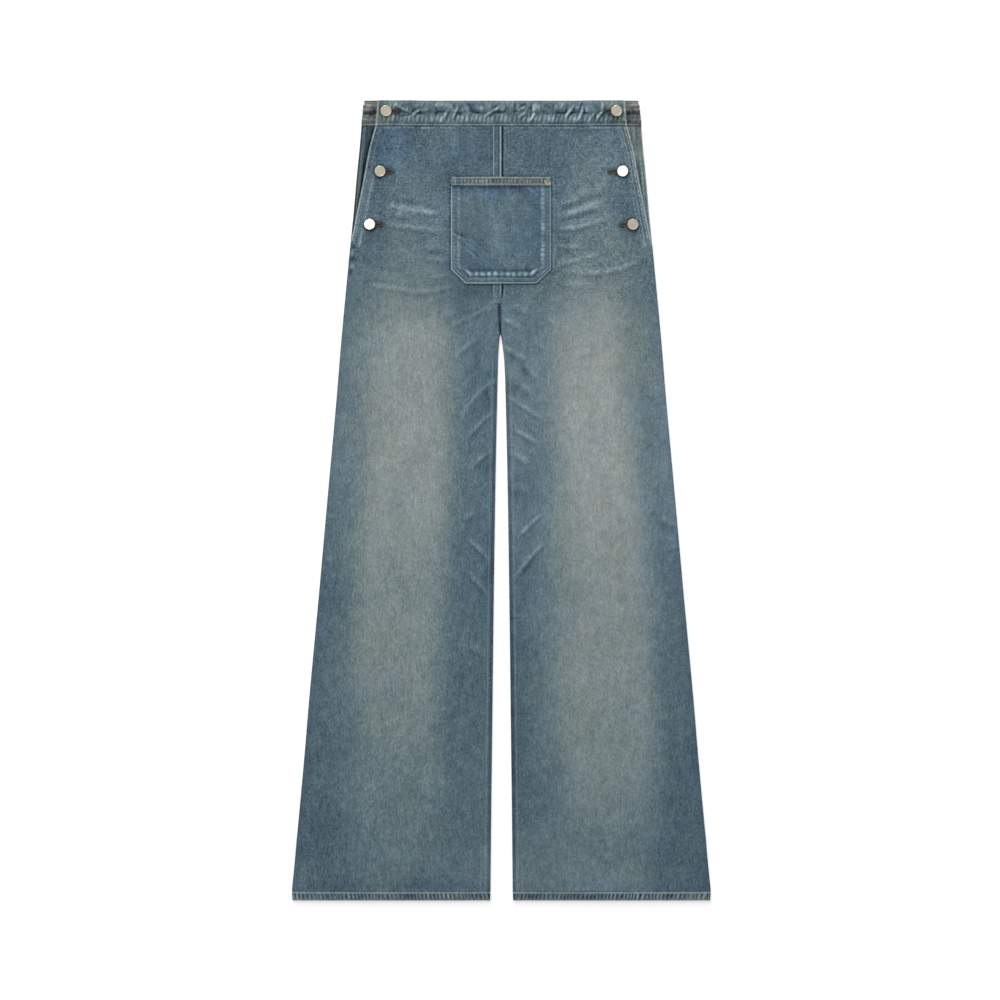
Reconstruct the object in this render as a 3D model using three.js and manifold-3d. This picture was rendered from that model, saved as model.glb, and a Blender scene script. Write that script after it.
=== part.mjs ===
// Baggy high-rise jeans with a buttoned opening down each side, laid flat with the front up.
// Millimetres, +Z up, the waist towards +Y and the wearer's left towards +X.
// The origin is under the middle of the garment, on the surface that it lies on.

import * as THREE from 'three';
import { mergeVertices } from 'three/addons/utils/BufferGeometryUtils.js';
import Module from 'manifold-3d';

const manifold = await Module();
manifold.setup();

// Driving sizes. "down" is always the distance below the top edge of the waistband.
const LENGTH = 1120; // waist to hem
const CLOTH = 1.2; // one layer of denim
const DOUBLE = 2.2; // a folded band or a turned hem
const GAP = 0.3; // between neighbouring pieces, at seams and where one lies on another
const BAND_HEIGHT = 36;
const HEM_HEIGHT = 12.5;
const OPENING_END = 205; // where the side opening is tacked shut
const CROTCH = 327; // where the two legs part

const UNDERLAP_WIDTH = 40; // how far the button stand reaches in under the front's edge
const ROLL = 0.3; // share of the wall that a raw or folded edge loses on each face

// Half widths of the garment from its centre line: the side, and the inside leg.
const LEG_SECTIONS = [
  { down: 0, outer: 191.5, inner: 0 },
  { down: 14, outer: 194.0, inner: 0 },
  { down: 36, outer: 195.9, inner: 0 },
  { down: 56, outer: 197.4, inner: 0 },
  { down: 97, outer: 201.7, inner: 0 },
  { down: 153, outer: 206.6, inner: 0 },
  { down: 209, outer: 212.1, inner: 0 },
  { down: 265, outer: 217.6, inner: 0 },
  { down: 327, outer: 223.4, inner: 0.6 },
  { down: 338, outer: 224.4, inner: 2.0 },
  { down: 361, outer: 226.3, inner: 4.2 },
  { down: 389, outer: 228.5, inner: 5.2 },
  { down: 419, outer: 231.0, inner: 6.0 },
  { down: 559, outer: 243.7, inner: 8.9 },
  { down: 699, outer: 256.2, inner: 10.9 },
  { down: 839, outer: 269.3, inner: 12.6 },
  { down: 910, outer: 275.2, inner: 13.4 },
  { down: 979, outer: 281.4, inner: 14.3 },
  { down: 1050, outer: 288.1, inner: 15.0 },
  { down: 1080, outer: 290.7, inner: 15.3 },
  { down: 1108, outer: 293.3, inner: 15.6 },
  { down: 1120, outer: 292.4, inner: 16.0 },
];

// The line between the legs sways a little from side to side.
const MIDDLE_SECTIONS = [
  { down: 0, sway: 0 },
  { down: 262, sway: 0 },
  { down: 285, sway: -2.8 },
  { down: 329, sway: -1.2 },
  { down: 385, sway: 0.1 },
  { down: 559, sway: 0.3 },
  { down: 1120, sway: 0.4 },
];

// The free side edge of the front, which runs out to the side seam at the foot of the opening.
const FLAP_SECTIONS = [
  { down: 0, edge: 173.5 },
  { down: 36, edge: 176.3 },
  { down: 52, edge: 181.2 },
  { down: 75, edge: 186.7 },
  { down: 116, edge: 193.9 },
  { down: 145, edge: 200.0 },
  { down: 167, edge: 204.1 },
  { down: 199, edge: 211.1 },
];

// The largest folds of the fronts: soft ridges (height above 0) and troughs, each along a line.
const FOLDS = [
  { x1: -84, down1: 160, x2: -161, down2: 148, height: 0.9, width: 11 },
  { x1: -76, down1: 183, x2: -147, down2: 174, height: 0.7, width: 9 },
  { x1: -88, down1: 265, x2: -178, down2: 255, height: 1.0, width: 14 },
  { x1: 77, down1: 159, x2: 150, down2: 141, height: 0.9, width: 11 },
  { x1: 82, down1: 181, x2: 126, down2: 173, height: 0.6, width: 9 },
  { x1: 90, down1: 237, x2: 196, down2: 224, height: 1.1, width: 13 },
  { x1: -60, down1: 372, x2: -30, down2: 345, height: -0.8, width: 13 },
  { x1: 16, down1: 340, x2: 46, down2: 366, height: -0.8, width: 13 },
  { x1: -48, down1: 614, x2: -18, down2: 640, height: 0.7, width: 16 },
  { x1: 26, down1: 610, x2: 54, down2: 582, height: 0.7, width: 16 },
];

// Heights of the lower face of each layer above the surface that the jeans lie on.
const BACK_TOP = CLOTH;
const EDGE_LOW = BACK_TOP + GAP; // where a front meets a back at a seam
const FRONT_LOW = 3.2; // the fronts over most of their area, before their crown
const CROWN = 0.5; // how much higher a front lies along its middle than near its sides
const TACK_HEAD = 0.7;
const UNDERLAP_LOW = BACK_TOP + GAP + TACK_HEAD + GAP;
const FLAP_LOW = UNDERLAP_LOW + CLOTH + GAP;
const UNDERLAP_SLOPE = 0.003; // it lies a touch lower towards the side seam
const BAND_END_LOW = DOUBLE + GAP + TACK_HEAD + GAP;
const BAND_END_REACH = 60; // how far the back band's ends come round to the front
const FRONT_BAND_LOW = BAND_END_LOW + DOUBLE + GAP;
const BAND_STEP = (DOUBLE - CLOTH) / 2; // centres a single wall on the band it is sewn to
const WAIST_BLEND = 34; // length over which the cloth comes down from the band's height

// Where each change of height begins and ends, in millimetres from the edge or level it names.
const CLIMB_ONTO_UNDERLAP = { begin: 24, end: 5 }; // before the underlap's inner edge
const FALL_TO_SIDE = { begin: 22, end: -6 }; // inside the side seam
const FALL_TO_INSEAM = { begin: 20, end: -5 }; // inside the inseam
const FALL_BELOW_OPENING = { begin: 2, end: 34 }; // below the foot of the side opening
const DIP_TO_CROTCH = { begin: -45, end: 8 }; // below the crotch
const CROWN_SPLIT = 60; // the one crown of the hip turns into two over this length about the crotch
const CURL_TO_SIDE = 9; // the underlap's outer strip, which curls down to the back
const BAND_LIFT_AT_SIDE = 1; // how far the band lifts that curled edge
const LAP_RAMP = { clear: 1, length: 12 }; // how the pocket climbs over the centre front

const LAP = { left: -12, right: 1.5, end: 284, thick: 1.0 }; // the felled edge down the centre front
const POCKET = { left: -70.8, right: 70.2, top: 107, bottom: 257, hem: 12.5, cutIn: 21, cutUp: 20 };

const BUTTON = { capRadius: 7.6, capHeight: 3.0, shank: 1.6, nail: 1.1, tackRadius: 4.5, holeReach: 16 };
const BUTTON_PLACES = [
  { name: 'button_left_1', x: 161.2, down: 15.2, onBand: true },
  { name: 'button_left_2', x: 170.0, down: 99.2, onBand: false },
  { name: 'button_left_3', x: 184.2, down: 173.6, onBand: false },
  { name: 'button_right_1', x: -161.2, down: 15.2, onBand: true },
  { name: 'button_right_2', x: -169.6, down: 99.2, onBand: false },
  { name: 'button_right_3', x: -184.2, down: 173.6, onBand: false },
];

const DENIM = new THREE.MeshStandardMaterial({ color: 0x556b77, roughness: 0.92, metalness: 0 });
const DENIM_BACK = new THREE.MeshStandardMaterial({ color: 0x4f6470, roughness: 0.92, metalness: 0 });
const DENIM_BAND = new THREE.MeshStandardMaterial({ color: 0x5a6a76, roughness: 0.92, metalness: 0 });
const DENIM_POCKET = new THREE.MeshStandardMaterial({ color: 0x526a7a, roughness: 0.92, metalness: 0 });
const METAL = new THREE.MeshStandardMaterial({ color: 0xb9ae98, roughness: 0.35, metalness: 1 });

// ---- Small helpers ----

const clamp01 = (t) => Math.min(1, Math.max(0, t));
const mix = (a, b, t) => a + (b - a) * t;
const yAt = (down) => LENGTH / 2 - down;

function smooth(from, to, value) {
  const t = clamp01((value - from) / (to - from));
  return t * t * (3 - 2 * t);
}

// A function of "down" through one column of a table, curved but never past its neighbours.
function curveThrough(rows, column) {
  const slopes = rows.slice(1).map((row, i) => (row[column] - rows[i][column]) / (row.down - rows[i].down));
  const tangents = rows.map((row, i) => {
    if (i === 0) return slopes[0];
    if (i === rows.length - 1) return slopes[i - 1];
    return slopes[i - 1] * slopes[i] <= 0 ? 0 : (2 * slopes[i - 1] * slopes[i]) / (slopes[i - 1] + slopes[i]);
  });
  return (down) => {
    let i = 0;
    while (i < rows.length - 2 && down > rows[i + 1].down) i += 1;
    const span = rows[i + 1].down - rows[i].down;
    const t = clamp01((down - rows[i].down) / span);
    const start = rows[i][column];
    const end = rows[i + 1][column];
    return (
      start * (2 * t ** 3 - 3 * t ** 2 + 1) +
      tangents[i] * span * (t ** 3 - 2 * t ** 2 + t) +
      end * (3 * t ** 2 - 2 * t ** 3) +
      tangents[i + 1] * span * (t ** 3 - t ** 2)
    );
  };
}

const sideAt = curveThrough(LEG_SECTIONS, 'outer');
const inseamAt = curveThrough(LEG_SECTIONS, 'inner');
const swayAt = curveThrough(MIDDLE_SECTIONS, 'sway');
const flapAt = curveThrough(FLAP_SECTIONS, 'edge');

// The outer edge of a front: its free flap edge, then the side seam.
const FLAP_END = FLAP_SECTIONS.at(-1).down;
const frontEdgeAt = (down) => (down < FLAP_END ? Math.min(flapAt(down), sideAt(down)) : sideAt(down));
const insideEdgeAt = (side, down) => swayAt(down) + side * Math.max(GAP / 2, inseamAt(down));
const underlapEdgeAt = (down) => frontEdgeAt(down) - UNDERLAP_WIDTH;

// ---- Closed shells from two matching grids of points ----

function signedVolume(positions, triangles) {
  const corner = (k) => new THREE.Vector3().fromArray(positions, 3 * triangles[k]);
  let volume = 0;
  for (let k = 0; k < triangles.length; k += 3) {
    volume += corner(k).dot(corner(k + 1).cross(corner(k + 2))) / 6;
  }
  return volume;
}

// Both grids hold rows of [x, y, z] points; the shell's rim joins their borders.
function closedShell(faceGrid, backGrid) {
  const rows = faceGrid.length;
  const columns = faceGrid[0].length;
  const positions = [...faceGrid.flat(), ...backGrid.flat()].flat();
  const face = (i, j) => i * columns + j;
  const back = (i, j) => rows * columns + face(i, j);
  const triangles = [];
  const quad = (a, b, c, d) => triangles.push(a, b, c, a, c, d);

  for (let i = 0; i < rows - 1; i += 1) {
    for (let j = 0; j < columns - 1; j += 1) {
      quad(face(i, j), face(i + 1, j), face(i + 1, j + 1), face(i, j + 1));
      quad(back(i, j), back(i, j + 1), back(i + 1, j + 1), back(i + 1, j));
    }
    quad(face(i, 0), back(i, 0), back(i + 1, 0), face(i + 1, 0));
    quad(face(i, columns - 1), face(i + 1, columns - 1), back(i + 1, columns - 1), back(i, columns - 1));
  }
  for (let j = 0; j < columns - 1; j += 1) {
    quad(face(0, j), face(0, j + 1), back(0, j + 1), back(0, j));
    quad(face(rows - 1, j), back(rows - 1, j), back(rows - 1, j + 1), face(rows - 1, j + 1));
  }
  if (signedVolume(positions, triangles) < 0) triangles.reverse();

  const geometry = new THREE.BufferGeometry();
  geometry.setAttribute('position', new THREE.Float32BufferAttribute(positions, 3));
  geometry.setIndex(triangles);
  return geometry;
}

// A wall of cloth over a plan grid: downs are its rows, xsAt(down) the places along a row,
// lowAt(x, down) the height of its lower face. Its edges are rolled, so they are a little thinner.
function clothSheet({ downs, xsAt, lowAt, thick }) {
  const faceGrid = [];
  const backGrid = [];
  downs.forEach((down, i) => {
    const xs = xsAt(down);
    const atEnd = i === 0 || i === downs.length - 1;
    faceGrid.push([]);
    backGrid.push([]);
    xs.forEach((x, j) => {
      const atEdge = atEnd || j === 0 || j === xs.length - 1;
      const roll = atEdge ? ROLL * thick : 0;
      const low = lowAt(x, down);
      faceGrid[i].push([x, yAt(down), low + thick - roll]);
      backGrid[i].push([x, yAt(down), low + roll]);
    });
  });
  return closedShell(faceGrid, backGrid);
}

// Places from one end to the other: set distances in from each end, and even steps between.
function spread(from, to, insetsFrom, insetsTo, steps) {
  const way = Math.sign(to - from);
  const start = from + way * insetsFrom.at(-1);
  const end = to - way * insetsTo.at(-1);
  const middle = Array.from({ length: steps - 1 }, (_, k) => mix(start, end, (k + 1) / steps));
  return [
    from,
    ...insetsFrom.map((inset) => from + way * inset),
    ...middle,
    ...[...insetsTo].reverse().map((inset) => to - way * inset),
    to,
  ];
}

// ---- Heights of the layers ----

// 1 beside the waistband, 0 once the cloth has come down to its own level.
const nearBand = (down) => 1 - smooth(BAND_HEIGHT, BAND_HEIGHT + WAIST_BLEND, down);

// 0 on the open front, 1 where it lies over the underlap that starts inside this edge.
function overUnderlap(x, edge) {
  const { begin, end } = CLIMB_ONTO_UNDERLAP;
  return smooth(edge - UNDERLAP_WIDTH - begin, edge - UNDERLAP_WIDTH - end, Math.abs(x));
}

const crownBetween = (from, to, x) => {
  const t = clamp01((Math.abs(x) - from) / (to - from));
  return CROWN * 4 * t * (1 - t);
};

function frontBandLowAt(x, down) {
  const level = mix(FRONT_LOW, FRONT_BAND_LOW, overUnderlap(x, frontEdgeAt(down)));
  return level + CROWN * (1 - (x / sideAt(down)) ** 2);
}

function foldHeight(x, down) {
  return FOLDS.reduce((sum, fold) => {
    const along = new THREE.Vector2(fold.x2 - fold.x1, fold.down2 - fold.down1);
    const reach = along.length();
    along.divideScalar(reach);
    const offset = new THREE.Vector2(x - fold.x1, down - fold.down1);
    const t = offset.dot(along) / reach;
    const aside = offset.cross(along) / fold.width;
    const ends = smooth(-0.15, 0.25, t) * (1 - smooth(0.75, 1.15, t));
    return sum + fold.height * ends * Math.exp(-aside * aside);
  }, 0);
}

// The lower face of a front: over the underlap at the hip, down to the back at the seams.
function frontLowAt(x, down) {
  const fromSide = sideAt(down) - Math.abs(x);
  const fromInseam = Math.abs(x) - inseamAt(down);
  const hip = mix(FRONT_LOW, FLAP_LOW, overUnderlap(x, frontEdgeAt(down)));
  const leg = mix(EDGE_LOW, FRONT_LOW, smooth(FALL_TO_SIDE.end, FALL_TO_SIDE.begin, fromSide));
  const closed = smooth(FALL_BELOW_OPENING.begin, FALL_BELOW_OPENING.end, down - OPENING_END);
  const body = mix(hip, leg, closed);
  const fall = smooth(FALL_TO_INSEAM.end, FALL_TO_INSEAM.begin, fromInseam);
  const insideLeg = mix(1, fall, smooth(DIP_TO_CROTCH.begin, DIP_TO_CROTCH.end, down - CROTCH));
  const parted = smooth(CROTCH - CROWN_SPLIT, CROTCH + CROWN_SPLIT, down);
  const hipCrown = CROWN * (1 - (x / sideAt(down)) ** 2);
  const crown = mix(hipCrown, crownBetween(inseamAt(down), sideAt(down), x), parted);
  const relaxed = mix(EDGE_LOW, body, insideLeg) + crown + foldHeight(x, down);
  return mix(relaxed, frontBandLowAt(x, down) + BAND_STEP, nearBand(down));
}

const frontTopAt = (x, down) => frontLowAt(x, down) + CLOTH;

function underlapLowAt(x, down) {
  const inFromSide = smooth(0, CURL_TO_SIDE, sideAt(down) - Math.abs(x));
  const fromInnerEdge = Math.abs(x) - underlapEdgeAt(down);
  const relaxed = mix(EDGE_LOW, UNDERLAP_LOW - UNDERLAP_SLOPE * fromInnerEdge, inFromSide);
  const atBand = mix(EDGE_LOW + BAND_LIFT_AT_SIDE, BAND_END_LOW + BAND_STEP, inFromSide);
  return mix(relaxed, atBand, nearBand(down));
}

// What lies over the centre front clears the felled edge under it.
function overLapLift(x) {
  const { clear, length } = LAP_RAMP;
  const onto = clamp01((x - (LAP.left - clear - length)) / length);
  const off = clamp01((LAP.right + clear + length - x) / length);
  return (LAP.thick + GAP) * Math.min(onto, off);
}

const pocketLowAt = (x, down) => frontTopAt(x, down) + GAP + overLapLift(x);

// ---- Cutting buttonholes and nail holes ----

const TOOL_HEIGHT = 20; // taller than all the layers together

function toSolid(geometry) {
  const bare = new THREE.BufferGeometry();
  bare.setAttribute('position', geometry.attributes.position.clone());
  if (geometry.index) bare.setIndex(geometry.index.clone());
  const merged = mergeVertices(bare, 1e-5);
  return new manifold.Manifold(
    new manifold.Mesh({
      numProp: 3,
      vertProperties: new Float32Array(merged.attributes.position.array),
      triVerts: new Uint32Array(merged.index.array),
    }),
  );
}

function toGeometry(solid) {
  const mesh = solid.getMesh();
  const geometry = new THREE.BufferGeometry();
  geometry.setAttribute('position', new THREE.Float32BufferAttribute(mesh.vertProperties, 3));
  geometry.setIndex([...mesh.triVerts]);
  return geometry;
}

function cut(geometry, tools) {
  return toGeometry(tools.reduce((solid, tool) => solid.subtract(toSolid(tool)), toSolid(geometry)));
}

// A slot through the cloth, from just outside the shank in towards the centre front.
function buttonholeTool({ x, down }) {
  const outside = BUTTON.shank + GAP;
  const slot = new THREE.BoxGeometry(outside + BUTTON.holeReach, 2 * outside, TOOL_HEIGHT);
  const middle = (outside - BUTTON.holeReach) / 2;
  return slot.translate(x + Math.sign(x) * middle, yAt(down), TOOL_HEIGHT / 2);
}

// A round hole through everything above this height.
function nailHoleTool({ x, down }, low) {
  const radius = BUTTON.nail + GAP;
  const hole = new THREE.CylinderGeometry(radius, radius, TOOL_HEIGHT, 12).rotateX(Math.PI / 2);
  return hole.translate(x, yAt(down), low + TOOL_HEIGHT / 2);
}

const buttonsOn = (side, onBand) =>
  BUTTON_PLACES.filter((place) => Math.sign(place.x) === side && place.onBand === onBand);

// ---- The pieces ----

const BODY_TOP = BAND_HEIGHT + GAP;
const BODY_BOTTOM = LENGTH - HEM_HEIGHT - GAP;

// Rows lie closer together where the folds of the hip are and where the legs part.
const CROTCH_DOWNS = [300, 313, 322, 327, 332, 338, 345, 353, 362, 374, 389];
const FRONT_DOWNS = [
  ...spread(BODY_TOP, 128, [2, 14], [2], 4).slice(0, -1),
  ...spread(132, 286, [2], [2], 11).slice(0, -1),
  290,
  ...CROTCH_DOWNS,
  ...spread(404, BODY_BOTTOM, [15], [28, 10, 2], 20),
];
const BACK_DOWNS = [
  ...spread(BODY_TOP, 260, [2, 12], [20], 4),
  285,
  ...CROTCH_DOWNS,
  ...spread(404, BODY_BOTTOM, [15], [12, 2], 13),
];

function frontPanel(side) {
  const xsAt = (down) =>
    spread(insideEdgeAt(side, down), side * frontEdgeAt(down), [2, 10], [2, 10, 22, 45, 66], 4);
  const sheet = clothSheet({ downs: FRONT_DOWNS, xsAt, lowAt: frontLowAt, thick: CLOTH });
  return cut(sheet, buttonsOn(side, false).map(buttonholeTool));
}

function backPanel(side) {
  const xsAt = (down) => spread(insideEdgeAt(side, down), side * sideAt(down), [2, 10], [2, 10], 4);
  return clothSheet({ downs: BACK_DOWNS, xsAt, lowAt: () => 0, thick: CLOTH });
}

function underlap(side) {
  const xsAt = (down) => spread(side * underlapEdgeAt(down), side * sideAt(down), [2], [1.5, 5, 10], 2);
  const downs = spread(BODY_TOP, OPENING_END, [2, 12], [2], 8);
  const sheet = clothSheet({ downs, xsAt, lowAt: underlapLowAt, thick: CLOTH });
  return cut(sheet, buttonsOn(side, false).map((place) => nailHoleTool(place, 0)));
}

function frontWaistband() {
  const xsAt = (down) =>
    spread(-frontEdgeAt(down), frontEdgeAt(down), [1.5, 8, 45, 66], [1.5, 8, 45, 66], 6);
  const downs = spread(0, BAND_HEIGHT, [1.5], [1.5], 2);
  const sheet = clothSheet({ downs, xsAt, lowAt: frontBandLowAt, thick: DOUBLE });
  return cut(sheet, [...buttonsOn(1, true), ...buttonsOn(-1, true)].map(buttonholeTool));
}

// The back band runs across the back and turns over both sides onto the underlaps.
function backWaistband() {
  const top = BAND_END_LOW + DOUBLE;
  const turn = top / 2;
  const innerTurn = turn - DOUBLE;
  const bendSteps = 6;
  const sectionAt = (down, radius) => {
    const bendX = sideAt(down) - turn;
    const end = sideAt(down) - BAND_END_REACH;
    const bend = Array.from({ length: bendSteps + 1 }, (_, k) => {
      const angle = Math.PI / 2 - (Math.PI * k) / bendSteps;
      return [bendX + radius * Math.cos(angle), turn + radius * Math.sin(angle)];
    });
    const turnedEnd = [end, end + 2, mix(end, bendX, 0.5)].map((x) => [x, turn + radius]);
    const oneSide = [...turnedEnd, ...bend];
    const across = [0.5, 0, -0.5].map((t) => [bendX * t, turn - radius]);
    const otherSide = [...oneSide].reverse().map(([x, z]) => [-x, z]);
    return [...oneSide, ...across, ...otherSide];
  };
  const gridFor = (radius) =>
    spread(0, BAND_HEIGHT, [1.5], [1.5], 4).map((down) =>
      sectionAt(down, radius).map(([x, z]) => [x, yAt(down), z]),
    );
  const band = closedShell(gridFor(turn), gridFor(innerTurn));
  // The nails go through the turned ends only, not through the back.
  const places = [...buttonsOn(1, true), ...buttonsOn(-1, true)];
  return cut(band, places.map((place) => nailHoleTool(place, BAND_END_LOW - GAP)));
}

function centreFrontLap() {
  const xsAt = () => spread(LAP.left, LAP.right, [1.5], [1.5], 1);
  const downs = spread(BODY_TOP, LAP.end, [2, 14, 34], [12, 2], 8);
  const lowAt = (x, down) => frontTopAt(x, down) + GAP;
  return clothSheet({ downs, xsAt, lowAt, thick: LAP.thick });
}

// Rows and columns for the pocket; its lower corners are cut off.
const pocketXsAt = (down) => {
  const cutIn = POCKET.cutIn * clamp01((down - (POCKET.bottom - POCKET.cutUp)) / POCKET.cutUp);
  const left = POCKET.left + cutIn;
  const right = POCKET.right - cutIn;
  const { clear, length } = LAP_RAMP;
  const ontoLap = [LAP.left - clear - length, LAP.left - clear];
  const offLap = [LAP.right + clear, LAP.right + clear + length];
  return [left, left + 2, left + 14, ...ontoLap, ...offLap, right - 14, right - 2, right];
};

function patchPocket() {
  const body = POCKET.top + POCKET.hem + GAP;
  const corner = POCKET.bottom - POCKET.cutUp;
  const downs = [...spread(body, corner, [2], [14], 5), ...spread(corner + 7, POCKET.bottom, [3], [2], 1)];
  return clothSheet({ downs, xsAt: pocketXsAt, lowAt: pocketLowAt, thick: CLOTH });
}

function pocketHem() {
  const downs = spread(POCKET.top, POCKET.top + POCKET.hem, [1.5], [1.5], 1);
  return clothSheet({ downs, xsAt: pocketXsAt, lowAt: pocketLowAt, thick: DOUBLE });
}

function legHem(side, isFront) {
  const xsAt = (down) => spread(insideEdgeAt(side, down), side * sideAt(down), [2, 10], [2, 10], 4);
  const downs = spread(LENGTH - HEM_HEIGHT, LENGTH, [1.5], [1.5], 1);
  const frontHemLow = (x, down) => Math.max(DOUBLE + GAP, frontLowAt(x, down) - BAND_STEP);
  return clothSheet({ downs, xsAt, lowAt: isFront ? frontHemLow : () => 0, thick: DOUBLE });
}

// A tack button: its head under the stand, a nail up through it, the shank and the round cap.
function button({ x, down, onBand }) {
  const standLow = onBand ? BAND_END_LOW : UNDERLAP_LOW;
  const standTop = standLow + (onBand ? DOUBLE : CLOTH);
  const { capRadius, capHeight, shank, nail, tackRadius } = BUTTON;
  const clothTopAt = (px, pd) => (onBand ? frontBandLowAt(px, pd) + DOUBLE : frontTopAt(px, pd));
  const offsets = [-capRadius, 0, capRadius];
  const seats = offsets.flatMap((across) => offsets.map((along) => clothTopAt(x + across, down + along)));
  const tackLow = standLow - GAP - TACK_HEAD;
  const capLow = Math.max(...seats) + GAP;
  const profile = [
    [0, tackLow],
    [tackRadius, tackLow],
    [tackRadius, tackLow + TACK_HEAD],
    [nail, tackLow + TACK_HEAD],
    [nail, standTop + GAP],
    [shank, standTop + GAP],
    [shank, capLow],
    [capRadius, capLow],
    [capRadius, capLow + 1.4],
    [capRadius - 1.6, capLow + 2.2],
    [capRadius * 0.45, capLow + capHeight],
    [0, capLow + capHeight],
  ].map(([radius, height]) => new THREE.Vector2(radius, height));
  const lathe = new THREE.LatheGeometry(profile, 16).rotateX(Math.PI / 2);
  const solid = toGeometry(toSolid(lathe));
  return solid.translate(x, yAt(down), 0);
}

// ---- The garment ----

const jeans = new THREE.Group();

function addPiece(name, geometry, material) {
  const mesh = new THREE.Mesh(geometry, material);
  mesh.name = name;
  jeans.add(mesh);
}

for (const [word, side] of [['left', 1], ['right', -1]]) {
  addPiece(`front_${word}`, frontPanel(side), DENIM);
  addPiece(`back_${word}`, backPanel(side), DENIM_BACK);
  addPiece(`underlap_${word}`, underlap(side), DENIM_BACK);
  addPiece(`hem_front_${word}`, legHem(side, true), DENIM_BAND);
  addPiece(`hem_back_${word}`, legHem(side, false), DENIM_BAND);
}
addPiece('waistband_front', frontWaistband(), DENIM_BAND);
addPiece('waistband_back', backWaistband(), DENIM_BAND);
addPiece('centre_front_lap', centreFrontLap(), DENIM);
addPiece('patch_pocket', patchPocket(), DENIM_POCKET);
addPiece('pocket_hem', pocketHem(), DENIM_POCKET);
for (const place of BUTTON_PLACES) addPiece(place.name, button(place), METAL);

export default jeans;
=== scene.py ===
# %% [markdown]
# # Baggy jeans, laid flat
#
# This lesson dresses the construction model of a pair of baggy, high-rise jeans that button
# down both sides. The model holds every cut piece at its real size and height. Here each piece
# becomes cloth: a fine sheet with folds, puckers and wear, sewn with modelled stitches and
# closed with metal buttons. Sizes are in millimetres until a mesh is made. A place on the
# garment is x, towards the wearer's left, and down, below the top edge of the waistband.

import math
from collections import namedtuple

import bmesh
import bpy
import numpy as np
from mathutils import Matrix, Vector
from mathutils.bvhtree import BVHTree


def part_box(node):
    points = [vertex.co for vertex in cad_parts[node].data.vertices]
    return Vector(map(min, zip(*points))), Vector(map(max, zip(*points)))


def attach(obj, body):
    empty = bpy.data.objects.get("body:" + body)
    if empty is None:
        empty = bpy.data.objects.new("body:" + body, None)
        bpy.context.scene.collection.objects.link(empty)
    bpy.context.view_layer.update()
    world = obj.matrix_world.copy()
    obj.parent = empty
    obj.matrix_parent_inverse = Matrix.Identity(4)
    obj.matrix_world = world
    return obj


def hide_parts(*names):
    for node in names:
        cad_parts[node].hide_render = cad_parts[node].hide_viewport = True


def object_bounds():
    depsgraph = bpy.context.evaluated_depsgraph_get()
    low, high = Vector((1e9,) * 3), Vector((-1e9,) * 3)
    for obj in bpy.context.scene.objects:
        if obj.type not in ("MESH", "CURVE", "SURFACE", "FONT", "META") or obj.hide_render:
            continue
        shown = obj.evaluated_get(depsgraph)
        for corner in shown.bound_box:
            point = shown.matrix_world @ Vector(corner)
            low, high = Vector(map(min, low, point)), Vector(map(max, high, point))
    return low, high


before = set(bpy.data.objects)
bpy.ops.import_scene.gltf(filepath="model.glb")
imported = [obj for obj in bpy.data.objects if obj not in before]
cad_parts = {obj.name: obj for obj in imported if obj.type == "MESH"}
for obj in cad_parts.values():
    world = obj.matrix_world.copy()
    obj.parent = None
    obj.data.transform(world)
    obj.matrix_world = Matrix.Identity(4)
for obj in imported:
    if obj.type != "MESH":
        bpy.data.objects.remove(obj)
cad_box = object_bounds()
MM = 0.001
TOP = cad_box[1].y / MM
LENGTH = (cad_box[1].y - cad_box[0].y) / MM
CLOTH = 1.2  # one layer of denim
DOUBLE = 2.2  # a folded band or a turned hem
FELLED = 1.0  # the strip over the centre seam, pressed thin
print("garment:", round(LENGTH), "mm long,", len(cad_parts), "construction pieces")

# %% [markdown]
# ## Soft numbers
#
# Cloth has no hard steps, so every fold, fade and pucker below is built from three soft
# functions: a ramp from 0 to 1, a hill that is 1 at its middle, and a slow random variation
# that makes neighbours differ. The random tables are seeded, so each run gives the same cloth.


# %% Ramps, hills and unevenness
def ramp(start, end, value):
    """0 before start, 1 past end, and a soft curve between them."""
    t = np.clip((value - start) / (end - start), 0, 1)
    return t * t * (3 - 2 * t)


def hill(value, centre, reach):
    """1 at the centre and nothing from about twice the reach away."""
    return np.exp(-(((value - centre) / reach) ** 2))


def uneven(x, down, across, along, seed):
    """Slow random variation from -1 to 1, in lumps of about that many millimetres."""
    table = np.random.default_rng(seed).uniform(-1, 1, (97, 89))
    u, v = np.asarray(x) / across + 31.7, np.asarray(down) / along + 17.3
    i, j = np.floor(u).astype(int), np.floor(v).astype(int)
    s, t = ramp(0, 1, u - i), ramp(0, 1, v - j)
    corner = lambda a, b: table[(i + a) % 97, (j + b) % 89]
    near = corner(0, 0) * (1 - s) + corner(1, 0) * s
    far = corner(0, 1) * (1 - s) + corner(1, 1) * s
    return near * (1 - t) + far * t


# %% [markdown]
# ## Reading the construction model
#
# Two things are needed from each construction piece: its outline, and how high its wall lies.
# The outline comes from where the piece's edges cross each level, and the height from a ray
# sent down and another sent up. The construction is faceted, so both are softened a little.


# %% Outlines and heights
def points_of(name):
    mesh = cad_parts[name].data
    points = np.empty(len(mesh.vertices) * 3, np.float32)
    mesh.vertices.foreach_get("co", points)
    return points.reshape(-1, 3) / MM


def blurred(values, reach, axis):
    """Values with each replaced by the soft average of its neighbours along one axis."""
    steps = np.arange(-2 * reach, 2 * reach + 1)
    weights = np.exp(-((steps / reach) ** 2))
    padding = [(2 * reach, 2 * reach) if k == axis else (0, 0) for k in range(values.ndim)]
    padded = np.pad(values, padding, mode="reflect", reflect_type="odd")
    soften = lambda line: np.convolve(line, weights / weights.sum(), mode="valid")
    return np.apply_along_axis(soften, axis, padded)


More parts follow.
